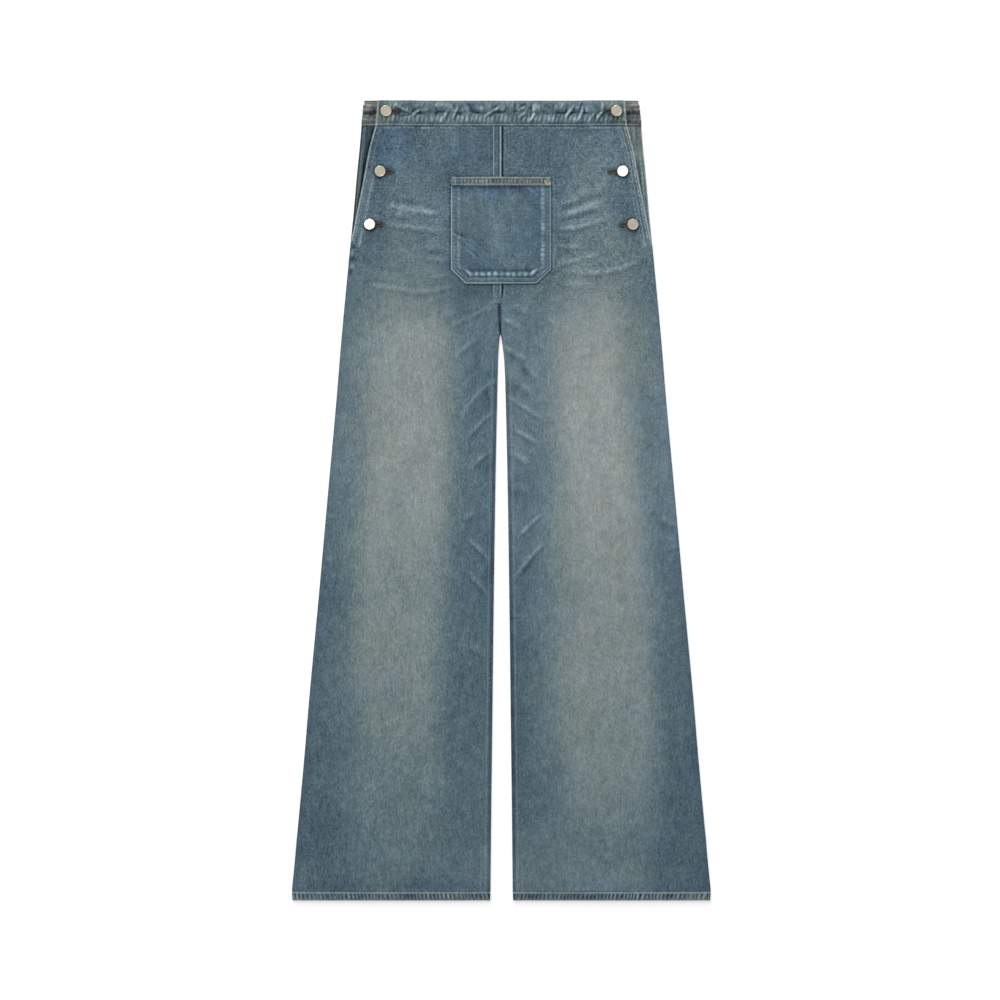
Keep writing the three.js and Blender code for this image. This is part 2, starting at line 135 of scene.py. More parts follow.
def outline(name, downs, soften):
    """The lowest and highest x of a construction piece at each distance down."""
    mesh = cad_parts[name].data
    edges = np.empty(len(mesh.edges) * 2, np.int32)
    mesh.edges.foreach_get("vertices", edges)
    a, b = points_of(name)[edges.reshape(-1, 2)].transpose(1, 0, 2)
    down_a, down_b = TOP - a[:, 1], TOP - b[:, 1]
    levels = np.arange(down_a.min() + 0.05, down_a.max(), 3 if soften else 0.5)
    sides = []
    for level in levels:
        crossing = (down_a - level) * (down_b - level) < 0
        share = (level - down_a[crossing]) / (down_b[crossing] - down_a[crossing])
        x = a[crossing, 0] + share * (b[crossing, 0] - a[crossing, 0])
        sides.append((x.min(), x.max()))
    sides = np.array(sides)
    if soften:
        sides = blurred(sides, soften, 0)
    return [np.interp(downs, levels, side) for side in sides.T]


def wall_heights(name, x, down, soften=2):
    """The height of the middle of a construction piece's wall at each place."""
    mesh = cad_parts[name].data
    polygons = [tuple(p.vertices) for p in mesh.polygons]
    tree = BVHTree.FromPolygons([v.co for v in mesh.vertices], polygons)
    inset = 0.35
    inner_x = np.clip(x, x[:, :1] + inset, x[:, -1:] - inset) * MM
    y = (TOP - np.clip(down, down.min() + inset, down.max() - inset)) * MM
    middle = np.full(x.shape, np.nan)
    for i, j in np.ndindex(x.shape):
        top = tree.ray_cast((inner_x[i, j], y[i, j], 0.1), (0, 0, -1))[0]
        low = tree.ray_cast((inner_x[i, j], y[i, j], -0.1), (0, 0, 1))[0]
        if top and low:
            middle[i, j] = (top.z + low.z) / 2 / MM
    for row in middle:
        known = np.flatnonzero(~np.isnan(row))
        row[:] = np.interp(np.arange(len(row)), known, row[known])
    return blurred(blurred(middle, soften, 1), 2 * soften, 0)


# %% [markdown]
# ## From a plan to a sheet of cloth
#
# Real cloth is cut flat and then creased. A cloth simulation could crease it, but its folds
# fall where they like, and these must lie where this garment was worn. So a sheet starts as
# Blender's own grid, and its points are laid out row by row on the piece's plan, with the rows
# and columns next to an edge close together, so that the edge can be rounded. Solidify then
# gives the wall its thickness. A vertex group thins the wall at its rim, which turns the square
# edge of the shell into the soft edge of a fold or a turned seam.

# %% Plans
EDGE_ROWS = (0.3, 0.8, 1.6, 2.8)  # how far in from an edge the close rows lie
# Beside the long seams of the fronts they go on, since stitches and rubbed ridges lie there.
SEAM_COLUMNS = (0.3, 0.8, 1.6, 2.6, 3.6, 4.6, 5.6, 6.7, 7.8, 8.9, 10.0, 11.2, 12.4, 13.8)
CROTCH = 327  # how far down the two legs part


def spaced(start, end, steps, packing=None, close=EDGE_ROWS):
    """Places from start to end, close together at both ends. Between them they are even, or
    packed: so much of the way is given to so much of the steps, from the start on."""
    way = math.copysign(1, end - start)
    insets = way * np.array((0, *close))
    shares = np.linspace(0, 1, steps + 1)[1:-1]
    if packing:
        part_of_way, part_of_steps = packing
        shares = np.interp(shares, (0, part_of_steps, 1), (0, part_of_way, 1))
    middle = start + insets[-1] + shares * (end - start - 2 * insets[-1])
    return np.concatenate([start + insets, middle, end - insets[::-1]])


def plan(name, across, along, soften=0, packing_down=None, packing_across=None, close=EDGE_ROWS):
    """The x and down of a grid over a construction piece, with rows from its foot up."""
    downs = TOP - points_of(name)[:, 1]
    rows = spaced(downs.max(), downs.min(), along, packing_down)
    left, right = outline(name, rows, soften)
    x = np.array([spaced(a, b, across, packing_across, close) for a, b in zip(left, right)])
    return x, np.repeat(rows[:, None], x.shape[1], 1)


def closed_at_centre(kind, x, down, side):
    """Draws the inner edge of a panel up to the middle seam above the crotch, where it is sewn."""
    rows = down[:, 0]
    middle = (outline(f"{kind}_left", rows, 3)[0] + outline(f"{kind}_right", rows, 3)[1]) / 2
    inner, outer = (x[:, 0], x[:, -1]) if side == 1 else (x[:, -1], x[:, 0])
    move = (middle + side * 0.01 - inner) * (1 - ramp(CROTCH, CROTCH + 3, rows))
    return x + (move / (inner - outer))[:, None] * (x - outer[:, None])


# %% Opening a buttonhole
Slot = namedtuple("Slot", "x down half_length half_width")


def cut_slot(piece, slot):
    """Opens a buttonhole: drops the faces inside it and pulls the rim onto its outline."""
    shape = bmesh.new()
    shape.from_mesh(piece.data)
    x, y = slot.x * MM, (TOP - slot.down) * MM
    half, radius = (slot.half_length - slot.half_width) * MM, slot.half_width * MM

    def from_spine(point):
        along = min(max(point.x - x, -half), half)
        return Vector((point.x - x - along, point.y - y)), Vector((x + along, y))

    inside = [f for f in shape.faces if from_spine(f.calc_center_median())[0].length < radius]
    bmesh.ops.delete(shape, geom=inside, context="FACES")
    for vertex in shape.verts:
        away, spine = from_spine(vertex.co)
        if vertex.is_boundary and 0 < away.length < 2.2 * radius:
            vertex.co.x, vertex.co.y = spine + away.normalized() * radius
    shape.to_mesh(piece.data)
    shape.free()


# %% A sheet of cloth
THINNEST = 0.16  # the share of the wall that is left at a rim


def make_cloth(name, x, down, height, wall, looks, slots=(), thin=1):
    """A sheet of cloth on a plan, its wall centred on height, carrying its looks."""
    rows, columns = x.shape
    bpy.ops.object.select_all(action="DESELECT")
    bpy.ops.mesh.primitive_grid_add(x_subdivisions=columns - 1, y_subdivisions=rows - 1, size=2)
    cloth = bpy.context.object
    cloth.name = cloth.data.name = name
    co = np.empty(rows * columns * 3, np.float32)
    cloth.data.vertices.foreach_get("co", co)
    column, row = np.rint((co.reshape(-1, 3)[:, :2] + 1) / 2 * (columns - 1, rows - 1)).astype(int).T
    points = np.stack([x, TOP - down, height], -1)[row, column] * MM
    cloth.data.vertices.foreach_set("co", points.astype(np.float32).ravel())
    for look, values in looks.items():
        attribute = cloth.data.attributes.new(look, "FLOAT", "POINT")
        attribute.data.foreach_set("value", values[row, column].astype(np.float32))

    for slot in slots:
        cut_slot(cloth, slot)
    from_edge = np.minimum(
        np.minimum(x - x[:, :1], x[:, -1:] - x), np.minimum(down - down.min(), down.max() - down)
    )
    inward = np.clip(from_edge / (wall / 2), 0, 1)
    thickness = np.clip(np.sqrt(1 - (1 - inward) ** 2), THINNEST, 1) * thin
    finish_wall(cloth, wall, points, thickness[row, column])
    print(name, "has", len(cloth.data.polygons), "faces")
    return cloth


def select_only(piece):
    bpy.ops.object.select_all(action="DESELECT")
    piece.select_set(True)
    bpy.context.view_layer.objects.active = piece


def finish_wall(cloth, wall, points, thickness):
    """Gives a sheet its wall with Solidify, thinner at its rim, and smooths its shading."""
    group = cloth.vertex_groups.new(name="wall")
    group.add(range(len(cloth.data.vertices)), 1, "REPLACE")
    rim = {tuple(np.round(points[k], 7)): float(thickness[k]) for k in np.flatnonzero(thickness < 1)}
    for vertex in cloth.data.vertices:
        share = rim.get(tuple(np.round(np.array(vertex.co), 7)))
        if share is not None:
            group.add([vertex.index], share, "REPLACE")
    select_only(cloth)
    solidify = cloth.modifiers.new("wall", "SOLIDIFY")
    solidify.thickness, solidify.offset = wall * MM, 0
    solidify.vertex_group = "wall"
    bpy.ops.object.modifier_apply(modifier=solidify.name)
    bpy.ops.object.shade_smooth()


# %% [markdown]
# ## What wear does to denim
#
# Indigo only coats the outside of each yarn, so rubbing shows the pale core. Wear is kept as
# one number for each point of the cloth, together with painted shade: its brightness, which the
# material later turns into the hue that washed indigo has at that brightness. Creases stand proud
# and rub pale on their crest, while the hollow beside them keeps its dye and is painted darker
# still, as the shade it lies in.

# %% Creases
Crease = namedtuple("Crease", "x1 down1 x2 down2 bow width height pale")


def crest(x, down, c, shift=0, broad=1):
    """1 along a crease's crest, 0 away from it, and fading at both ends."""
    dx, dd = c.x2 - c.x1, c.down2 - c.down1
    reach = math.hypot(dx, dd)
    t = ((x - c.x1) * dx + (down - c.down1) * dd) / reach**2
    aside = ((x - c.x1) * dd - (down - c.down1) * dx) / reach * math.copysign(1, -dx)
    aside = aside - c.bow * 4 * np.clip(t * (1 - t), 0, 0.25) - shift
    ends = ramp(-0.1, 0.3, t) * (1 - ramp(0.65, 1.1, t))
    return ends * hill(aside, 0, broad * c.width)


# Side -1 is the wearer's right, on the left of the garment as it lies, and 1 is the left.
HIP_CREASES = {
    -1: [
        Crease(-151, 132.5, -119, 138, 0, 2.6, 0.3, 10),
        Crease(-163, 147, -145, 146, 0, 3.0, 0.3, 14),
        Crease(-162, 148, -80, 159, 0, 3.0, 0.5, 26),
        Crease(-166, 156.5, -110, 159.5, 1.5, 2.8, 0.4, 20),
        Crease(-165, 172, -74, 183.5, 0.5, 2.6, 0.45, 20),
        Crease(-116, 204, -72, 203, 1, 3.8, 0.3, 10),
        Crease(-166, 214, -136, 210, 0, 5.0, 0.2, 8),
        Crease(-106, 219.5, -73, 224, 0, 2.8, 0.35, 14),
        Crease(-98, 248, -75, 243.5, 0, 2.4, 0.3, 14),
        Crease(-188, 257, -120, 266.5, 0.5, 2.6, 0.4, 13),
        Crease(-138, 267, -60, 256, 4.5, 2.6, 0.4, 14),
        Crease(-176, 234, -132, 241.5, 0, 2.6, -0.2, -9),
        Crease(-180, 252, -148, 257, 0, 2.2, -0.2, -11),
        Crease(-152, 137, -100, 149, 0, 3.0, -0.3, -11),
    ],
    1: [
        Crease(83, 146, 110, 134, 0, 3.0, 0.35, 15),
        Crease(108, 131, 126, 122, 0, 5.0, 0.2, 11),
        Crease(130, 124, 154, 116, 0, 5.5, 0.2, 13),
        Crease(82, 153, 136, 131, 1, 3.2, -0.3, -12),
        Crease(78, 160.5, 144, 138, 4, 3.2, 0.5, 25),
        Crease(116, 153, 150, 146, 0, 2.6, 0.3, 14),
        Crease(78, 167.5, 140, 152, 3, 3.4, -0.3, -9),
        Crease(78, 180.5, 159, 157, 6, 2.6, 0.5, 20),
        Crease(80, 180, 112, 175.5, 0.5, 2.4, 0.3, 17),
        Crease(86, 186, 99, 184, 0, 3.0, 0.2, 8),
        Crease(74, 200.5, 122, 203, 3, 2.6, 0.35, 15),
        Crease(84, 211, 108, 217, 1, 3.4, -0.3, -12),
        Crease(72, 228.5, 144, 211, 3, 2.8, 0.4, 15),
        Crease(88, 237, 199, 220.5, 11, 2.6, 0.5, 22),
        Crease(74, 254, 128, 257.5, 1, 3.4, 0.3, 11),
        Crease(66, 276, 86, 282, 0, 4.0, 0.2, 8),
    ],
}
LEG_CREASES = {
    -1: [
        Crease(-76, 317, -10, 285, 1, 3.0, 0.3, 11),
        Crease(-68, 360, -33, 332, -1, 3.0, 0.5, 17),
        Crease(-57, 443, -6, 389, -4.5, 2.8, 0.5, 19),
        Crease(-50, 476, -8, 434, -3, 2.4, 0.5, 19),
        Crease(-44, 516, -15, 489, -1, 2.6, 0.4, 19),
        Crease(-58, 586, -36, 575, 1, 3.2, 0.3, 11),
        Crease(-50, 610, -18, 641, -0.5, 2.6, 0.5, 22),
        Crease(-47, 658, -18, 691, 1, 2.6, 0.45, 21),
        Crease(-62, 676, -40, 690, 0, 2.4, 0.2, 6),
        Crease(-247, 578, -231, 584, 0, 3.0, 0.3, 12),
        Crease(-248, 640, -236, 646, 0, 3.0, 0.3, 11),
        Crease(-200, 622, -176, 628, 1, 3.0, 0.2, 6),
        Crease(-46, 760, -22, 778, 0, 3.0, 0.2, 7),
    ],
    1: [
        Crease(16, 284, 38, 297, 0, 4.0, 0.3, 14),
        Crease(2, 304, 30, 319, 0, 3.0, 0.4, 18),
        Crease(64, 302, 82, 318, 0, 3.5, 0.2, 9),
        Crease(42, 336, 64, 348, 0, 3.0, 0.3, 11),
        Crease(3, 343, 42, 366, 0, 3.2, 0.5, 20),
        Crease(32, 365, 50, 389, 0, 3.6, 0.3, 14),
        Crease(24, 393, 46, 412, 0, 3.4, 0.3, 14),
        Crease(9, 413, 58, 445, 0.5, 2.4, 0.5, 21),
        Crease(17, 459, 52, 479, 0, 2.6, 0.45, 23),
        Crease(38, 460, 50, 475, 0, 2.0, -0.2, -14),
        Crease(15, 491, 40, 508, 0, 3.6, 0.4, 19),
        Crease(24, 537, 44, 547, 0, 4.0, 0.3, 14),
        Crease(23, 611, 58, 577, -0.5, 2.6, 0.5, 26),
        Crease(19, 667, 60, 618, -1.5, 2.8, 0.5, 29),
        Crease(224, 582, 247, 594, 2, 3.0, 0.4, 17),
        Crease(228, 610, 246, 616, 1, 2.6, 0.25, 10),
        Crease(230, 632, 252, 620, -2, 2.8, 0.35, 15),
        Crease(24, 760, 48, 738, 1, 3.0, 0.2, 7),
        Crease(208, 300, 226, 312, 1, 3.0, 0.25, 7),
    ],
}


def crease_relief(x, down, creases):
    return sum(c.height * crest(x, down, c) for c in creases)


def crease_wear_and_shade(x, down, creases, broad=1):
    """Pale where the crests are rubbed, and painted shade in the hollow just below them."""
    broken = 0.8 + 0.35 * uneven(x, down, 5, 3, 11)
    rubbed = sum(c.pale * crest(x, down, c, 0, broad) for c in creases)
    # The hollow beside each crest is painted darker, as the shade it lies in.
    shaded_hollow = sum(0.45 * c.pale * crest(x, down, c, 1.9 * c.width) for c in creases)
    return rubbed * broken - shaded_hollow


# %% [markdown]
# The thighs were rubbed on purpose by hand: a long pale band runs down the middle of each leg,
# steep on its inner side and soft on its outer side, and the two legs differ. A short table
# tells the story of each leg at a few levels: how bright the cloth is beside the inseam, where
# the band starts and where it is full, its peak, where it ends, and the tone of the outer side.

# %% The fades of the legs
Fade = namedtuple("Fade", "down seam start full peak end gone side")
LEG_FADES = {
    -1: [
        Fade(40, 101, 60, 100, 104, 140, 175, 96),
        Fade(150, 103, 60, 100, 112, 140, 175, 99),
        Fade(210, 102, 62, 100, 112, 155, 190, 101),
        Fade(272, 103, 50, 112, 121, 150, 205, 110),
        Fade(330, 103, 38, 108, 141, 150, 215, 109),
        Fade(450, 101, 42, 104, 142, 155, 222, 111),
        Fade(570, 101, 44, 102, 138, 170, 222, 107),
        Fade(690, 99, 52, 108, 129, 182, 240, 95),
        Fade(810, 95, 56, 116, 127, 178, 255, 94),
        Fade(930, 96, 62, 104, 114, 172, 250, 92),
        Fade(1050, 99, 60, 105, 105, 165, 250, 90),
    ],
    1: [
        Fade(40, 102, 75, 110, 106, 150, 180, 105),
        Fade(150, 104, 76, 106, 120, 142, 172, 105),
        Fade(210, 104, 74, 110, 117, 165, 198, 108),
        Fade(272, 110, 66, 108, 129, 145, 205, 107),
        Fade(330, 111, 42, 112, 147, 128, 218, 113),
        Fade(450, 116, 52, 106, 148, 150, 206, 115),
        Fade(570, 107, 42, 118, 145, 172, 216, 112),
        Fade(690, 95, 10, 136, 135, 182, 238, 100),
        Fade(810, 83, 4, 108, 130, 196, 238, 97),
        Fade(930, 88, 8, 128, 125, 192, 252, 90),
        Fade(1050, 98, 30, 104, 110, 186, 232, 91),
    ],
}


def leg_tone(x, down, side):
    """The brightness that the rubbing leaves at each place of a leg."""
    rows = np.array(LEG_FADES[side])
    seam, start, full, peak, end, gone, outer = (
        np.interp(down, rows[:, 0], rows[:, k]) for k in range(1, 8)
    )
    across = side * x
    rise = ramp(start, full, across)
    fall = ramp(end, gone, across)
    return seam + (peak - seam) * rise + (outer - peak) * fall


# %% Patches that the fades leave out
Patch = namedtuple("Patch", "x down across along change")
PATCHES = [
    Patch(-196, 60, 26, 40, -6),
    Patch(-60, 96, 50, 24, -4),
    Patch(0, 60, 40, 20, -4),
    Patch(150, 60, 40, 40, 4),
    Patch(-35, 262, 40, 16, -11),
    Patch(6, 262, 16, 16, -6),
    Patch(0, 296, 20, 24, 4),
    Patch(-12, 288, 4, 6, 14),
    Patch(9, 308, 5, 4, 12),
    Patch(-98, 148, 6, 4, -9),
    Patch(-113, 197, 6, 5, -11),
    Patch(-99, 213.5, 10, 4, -9),
    Patch(92, 195.5, 6, 4, -11),
    Patch(-34, 365, 5, 18, -9),
    Patch(-36, 398, 7, 14, -9),
    Patch(-15, 385, 8, 7, -11),
    Patch(-20, 416, 5, 14, -22),
    Patch(-21, 512, 8, 9, -16),
    Patch(-17, 605, 9, 18, -7),
    Patch(-18, 660, 10, 24, -11),
    Patch(14, 360, 6, 10, -11),
    Patch(33, 380, 5, 7, -13),
    Patch(18, 403, 10, 10, -17),
    Patch(50, 427, 8, 5, -8),
    Patch(20, 532, 4, 8, -12),
    Patch(21, 552, 5, 7, -14),
    Patch(32, 562, 6, 22, -8),
    Patch(230, 450, 8, 60, 8),
    Patch(238, 570, 8, 30, 6),
    Patch(22, 1096, 40, 18, 9),
    Patch(170, 1096, 80, 14, 5),
    Patch(-130, 1098, 90, 10, -8),
    Patch(-284, 1096, 18, 22, 9),
    Patch(-20, 1050, 12, 60, 5),
]


def body_wear(x, down, side):
    """The brightness of a front before its seams and creases are added."""
    tone = leg_tone(x, down, side)
    for p in PATCHES:
        tone = tone + p.change * hill(x, p.x, p.across) * hill(down, p.down, p.along)
    tone = tone + 2.5 * uneven(x, down, 34, 60, 5) + 2.5 * uneven(x, down, 14, 22, 6)
    hip = 1 - ramp(240, 360, down)
    return tone + (1.6 + 2.4 * hip) * uneven(x, down, 5, 8, 7)


# %% [markdown]
# ## Looks that the material reads
#
# Six attributes travel with each sheet. Wear and shade is the brightness of each place: its
# wear, with shade painted into hollows, along seams and beside edges. Zone is that of the area
# around it: how far a whole area has faded decides its hue, while a crest or a hollow within it
# only turns lighter or darker. Blue is where the dye is fresher, brown and olive are where dirt
# and old thread tint the cloth, and grain is how speckled it is.
# Brightness is kept on the scale that screens use and then squeezed to about 0 to 1.

# %% Packing the looks
DARKEST, BRIGHTEST = 55, 175


def looks_of(wear_and_shade, zone, blue=0, brown=0, olive=0, grain=1):
    def share(tone):
        return np.clip((tone - DARKEST) / (BRIGHTEST - DARKEST), -0.35, 1.1)

    plain = np.zeros_like(wear_and_shade)
    # The first look is the wear together with the painted shade.
    looks = {"wear_and_shade": share(wear_and_shade), "zone": share(plain + zone), "grain": plain + grain}
    tints = {"blue": blue, "brown": brown, "olive": olive}
    return {**looks, **{name: np.clip(plain + tint, 0, 1) for name, tint in tints.items()}}


# %% [markdown]
# ## Buttons and their places
#
# The construction gives each button's place. Its buttonhole starts at the shank and runs in
# towards the centre front, so the slot's place follows from the button's.

# %% Places read from the buttons
BUTTON_NODES = sorted(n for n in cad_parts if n.startswith("button_"))
SHANK = 1.6
SLOT_HALF_WIDTH = 0.9
SLOT_REACH = 16  # from the button's middle in towards the centre front


def button_slot(name):
    low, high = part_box(name)
    x, down = (low.x + high.x) / 2 / MM, TOP - (low.y + high.y) / 2 / MM
    side = math.copysign(1, x)
    outside = SHANK + 0.5
    middle = x + side * (outside - SLOT_REACH) / 2
    return Slot(middle, down, (outside + SLOT_REACH) / 2, SLOT_HALF_WIDTH)


SLOTS = {name: button_slot(name) for name in BUTTON_NODES}


def near_slot(x, down, slot, reach):
    """1 beside a buttonhole and 0 from about twice the reach away."""
    along = np.clip(x - slot.x, -slot.half_length, slot.half_length)
    return hill(np.hypot(x - slot.x - along, down - slot.down), 0, reach)


def slots_in(low, high, side):
    return [s for s in SLOTS.values() if low < s.down < high and s.x * side > 0]


# %% [markdown]
# ## The fronts
#
# Each front is one long panel from the waistband to the hem. Its free edge at the hip is turned
# and rubbed pale, and its rim is painted paler still as a highlight. Below the opening it runs
# along the side seam, and on its inner side along the inseam, which puckers where the seam was
# sewn. Seams and ropes could be carved as separate strips, but one sheet with relief and painted
# wear and shade has no joins that could open. The folds follow from the tables above. All of the
# relief dies away under the pocket, the centre strip and the bands, so nothing cuts through what
# lies on top.

# %% Seams of the fronts
OPENING_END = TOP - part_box("underlap_left")[0].y / MM
BAND_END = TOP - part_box("waistband_front")[0].y / MM
HEM_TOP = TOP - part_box("hem_front_left")[1].y / MM
pocket_low, pocket_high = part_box("patch_pocket")
POCKET_LEFT, POCKET_RIGHT = pocket_low.x / MM, pocket_high.x / MM
POCKET_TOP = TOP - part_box("pocket_hem")[1].y / MM
POCKET_END = TOP - pocket_low.y / MM
LAP_END = 284  # how far down the felled strip of the centre front reaches
SEWN_END = 268  # how far down its two rows of stitches run


def roping(position, pitch, seed, sharp=1.0):
    """Uneven ridges across a seam, from 0 in a hollow to 1 on a crest."""
    drift = 0.35 * uneven(position, 0 * position, 2.6 * pitch, 1, seed)
    wave = 0.5 + 0.5 * np.cos(2 * np.pi * (position / pitch + drift))
    strength = 0.7 + 0.3 * uneven(position, 0 * position, 1.7 * pitch, 1, seed + 1)
    return wave**sharp * strength


def covered(x, down):
    """1 where a front lies under the pocket or the felled strip, and 0 in the open."""
    over_x = ramp(POCKET_LEFT - 8, POCKET_LEFT + 1, x)
    over_x = over_x * (1 - ramp(POCKET_RIGHT - 1, POCKET_RIGHT + 8, x))
    over_down = ramp(POCKET_TOP - 8, POCKET_TOP + 1, down)
    pocket = over_x * over_down * (1 - ramp(POCKET_END - 1, POCKET_END + 8, down))
    lap = ramp(-18, -12, x) * (1 - ramp(1, 7, x)) * (1 - ramp(LAP_END, LAP_END + 8, down))
    return np.maximum(pocket, lap)


def inseam_marks(from_inseam, down, seed):
    """Brightness along an inseam: a dark turned strip and a rubbed ridge beside it."""
    below = ramp(CROTCH + 10, CROTCH + 90, down)
    ropes = roping(down, 6.2, seed)
    patchy = 0.7 + 0.5 * uneven(from_inseam, down, 60, 26, seed + 3)
    strip = -20 * (1 - ramp(3.2, 6.2, from_inseam)) + 7 * hill(from_inseam, 0.6, 0.8)
    ridge = 24 * hill(from_inseam, 7.2, 1.3) * (0.45 + 0.8 * ropes) * patchy
    near_hem = ramp(1020, 1100, down) * (12 * hill(from_inseam, 14, 1.6) + 10 * hill(from_inseam, 4.5, 1))
    return below * (strip + ridge + near_hem)


# %% The fronts' relief
def front_relief(x, down, side, from_edge, from_inseam):
    free = (1 - covered(x, down)) * ramp(2, 16, from_edge) * ramp(BAND_END, BAND_END + 16, down)
    free = free * (1 - ramp(HEM_TOP - 18, HEM_TOP - 3, down))
    inside = np.where(down > CROTCH - 40, ramp(2, 16, from_inseam), 1)
    waves = 0.22 * uneven(x, down, 60, 90, 21) + 0.10 * uneven(x, down, 18, 30, 22)
    folds = crease_relief(x, down, HIP_CREASES[side] + LEG_CREASES[side])
    return (waves + folds) * free * inside


# %% Wear and painted highlight along the free edge
def flap_wear_and_highlight(from_edge, down, side):
    """The turned free edge at the hip: a rim rubbed pale and painted paler as a highlight, a stitched
    margin and ropes.
    """
    ropes = roping(down, 6.6, 31 + side)
    streaks = uneven(from_edge, down, 1.6, 30, 33) * (1 - ramp(9, 12, from_edge))
    # The rim is rubbed pale and painted paler still as a highlight.
    edge = 58 * hill(from_edge, 1.0, 1.3) - 15 * hill(from_edge, 3.2, 0.9) + 9 * streaks
    if side == 1:
        lines = 62 * hill(from_edge, 4.6, 1.0) + 48 * hill(from_edge, 9.2, 1.1)
        lines = lines + 26 * hill(from_edge, 13.2, 1.2)
        gaps = 18 * hill(from_edge, 7, 1.1) + 12 * hill(from_edge, 11.6, 1)
        return edge + (0.5 + 0.8 * ropes) * lines - gaps
    lower = ramp(90, 110, down)
    lines = lower * (30 * hill(from_edge, 4.6, 1.2) + 36 * hill(from_edge, 12.6, 1.8))
    return edge + 10 * hill(from_edge, 8.6, 1.6) * (1 - lower) * (0.4 + ropes) + lines


def foot_wear(from_edge, down, side):
    """Cloth bunched at the foot of an opening, above and below the bar tack."""
    foot = hill(down, OPENING_END - 6, 6)
    if side == 1:
        ropes = 26 * hill(from_edge, 3, 1.6) + 34 * hill(from_edge, 11, 2.4)
        return foot * (ropes + 14 * hill(from_edge, 7, 3) - 22 * hill(from_edge, 16.5, 1.6))
    tone = foot * (26 * hill(from_edge, 12, 3) - 30 * hill(from_edge, 4, 4))
    tone = tone + 36 * hill(from_edge, 3, 2.2) * hill(down, 213, 4)
    tone = tone + 30 * hill(from_edge, 5, 3) * hill(down, 231, 4)
    return tone - 26 * hill(from_edge, 4, 4) * (hill(down, 222, 4) + hill(down, 240, 5))


# %% Painted shadows and marks round the pocket, the centre seam and the buttons
def painted_pocket_shadows(x, down):
    """Painted shadow lines beside, above and below the pocket, and a pale line past its right side."""
    beside = (down > POCKET_TOP - 1) & (down < POCKET_END - 18)
    # A pale line past the right side, and painted shadow just outside both sides.
    sides = 20 * hill(x, POCKET_RIGHT + 3, 1.2) - 22 * hill(x, POCKET_RIGHT + 0.8, 1.0)
    sides = sides - 48 * hill(x, POCKET_LEFT - 0.7, 1.1)
    below = 14 * hill(down, POCKET_END + 0.7, 0.9) * (np.abs(x) < 52)
    along = ramp(POCKET_LEFT - 1, POCKET_LEFT + 1, x)
    along = along * (1 - ramp(POCKET_RIGHT - 1, POCKET_RIGHT + 1, x))
    # Painted shadow under the pocket's foot and just above its mouth.
    return beside * sides - below - 22 * along * hill(down, POCKET_TOP - 1.6, 1.5)


def centre_seam_lines_and_shade(x, down, from_inseam):
    """A pale line beside the felled strip, painted shadow along its fold and its other edge, and the slit
    from its end to the crotch, painted dark as shade.
    """
    sewn = 1 - ramp(SEWN_END, SEWN_END + 10, down)
    lines = (14 + 10 * ramp(POCKET_END, POCKET_END + 4, down)) * hill(x, 4.6, 1.0)
    # Painted shadow along the strip's fold and along its other edge.
    lines = lines - 90 * hill(x, 1.5, 1.1) - 16 * hill(x, -13.4, 1.2)
    # Below the strip the two fronts meet, and the slit between them is painted dark as shade.
    opened = ramp(LAP_END - 8, LAP_END + 8, down) * (1 - ramp(CROTCH, CROTCH + 12, down))
    opened = opened * (0.75 + 0.35 * uneven(x * 0, down, 60, 14, 53))
    half_width = 2.6 * ramp(LAP_END - 10, LAP_END + 6, down)
    half_width = half_width - 1.3 * ramp(LAP_END + 12, CROTCH, down)
    slit = 1 - ramp(0.5 * half_width, 1.3 * half_width + 0.2, from_inseam)
    return sewn * lines - 112 * opened * slit


def buttonhole_smudges_and_shade(x, down, side):
    """Smudges along each buttonhole, of soil and painted shade, and a painted shadow ring round each
    button.
    """
    tone = 0
    for slot in slots_in(BAND_END, OPENING_END, side):
        # Each buttonhole is darkened, partly as soil and partly as painted shade in the slot.
        tone = tone - 58 * near_slot(x, down - 0.6, slot, 4.7)
        from_button = np.hypot(x - slot.x - side * (SLOT_REACH - SHANK) / 2, down - slot.down)
        # A painted shadow ring round the button.
        tone = tone - 30 * hill(from_button, 8.2, 2.2)
    return tone


# %% All the wear and painted shade of a front
def front_wear_and_shade(x, down, side, from_edge, from_inseam):
    tone = body_wear(x, down, side)
    tone = tone + 1.3 * crease_wear_and_shade(x, down, HIP_CREASES[side], 1.25)
    tone = tone + 1.35 * crease_wear_and_shade(x, down, LEG_CREASES[side])
    flap = 1 - ramp(OPENING_END - 12, OPENING_END + 2, down)
    tone = tone + flap * flap_wear_and_highlight(from_edge, down, side) + foot_wear(from_edge, down, side)
    # Below the opening the cloth darkens towards the side seam.
    tone = tone - (1 - flap) * (5 * (1 - ramp(2, 16, from_edge)) + 7 * (1 - ramp(0, 3, from_edge)))
    tone = tone + inseam_marks(from_inseam, down, 41 + side)
    # Just under the waistband the cloth is abraded, and just above the hem it keeps its dye.
    broken = np.clip(0.55 + 0.8 * uneven(x, down, 7, 3, 51), 0, 1.3)
    tone = tone + 26 * hill(down, BAND_END + 2, 1.4) * broken - 8 * hill(down, BAND_END + 5, 1.5)
    tone = tone - 5 * hill(down, HEM_TOP - 6, 7)
    # Painted shadows round the pocket and beside the centre strip, and the slit at the crotch painted
    # dark as shade.
    tone = tone + painted_pocket_shadows(x, down) + centre_seam_lines_and_shade(x, down, from_inseam)
    # Buttonhole smudges of soil and painted shade, and a painted shadow ring round each button.
    tone = tone + buttonhole_smudges_and_shade(x, down, side)
    return tone - 4.5 * (1 - ramp(250, 330, down))


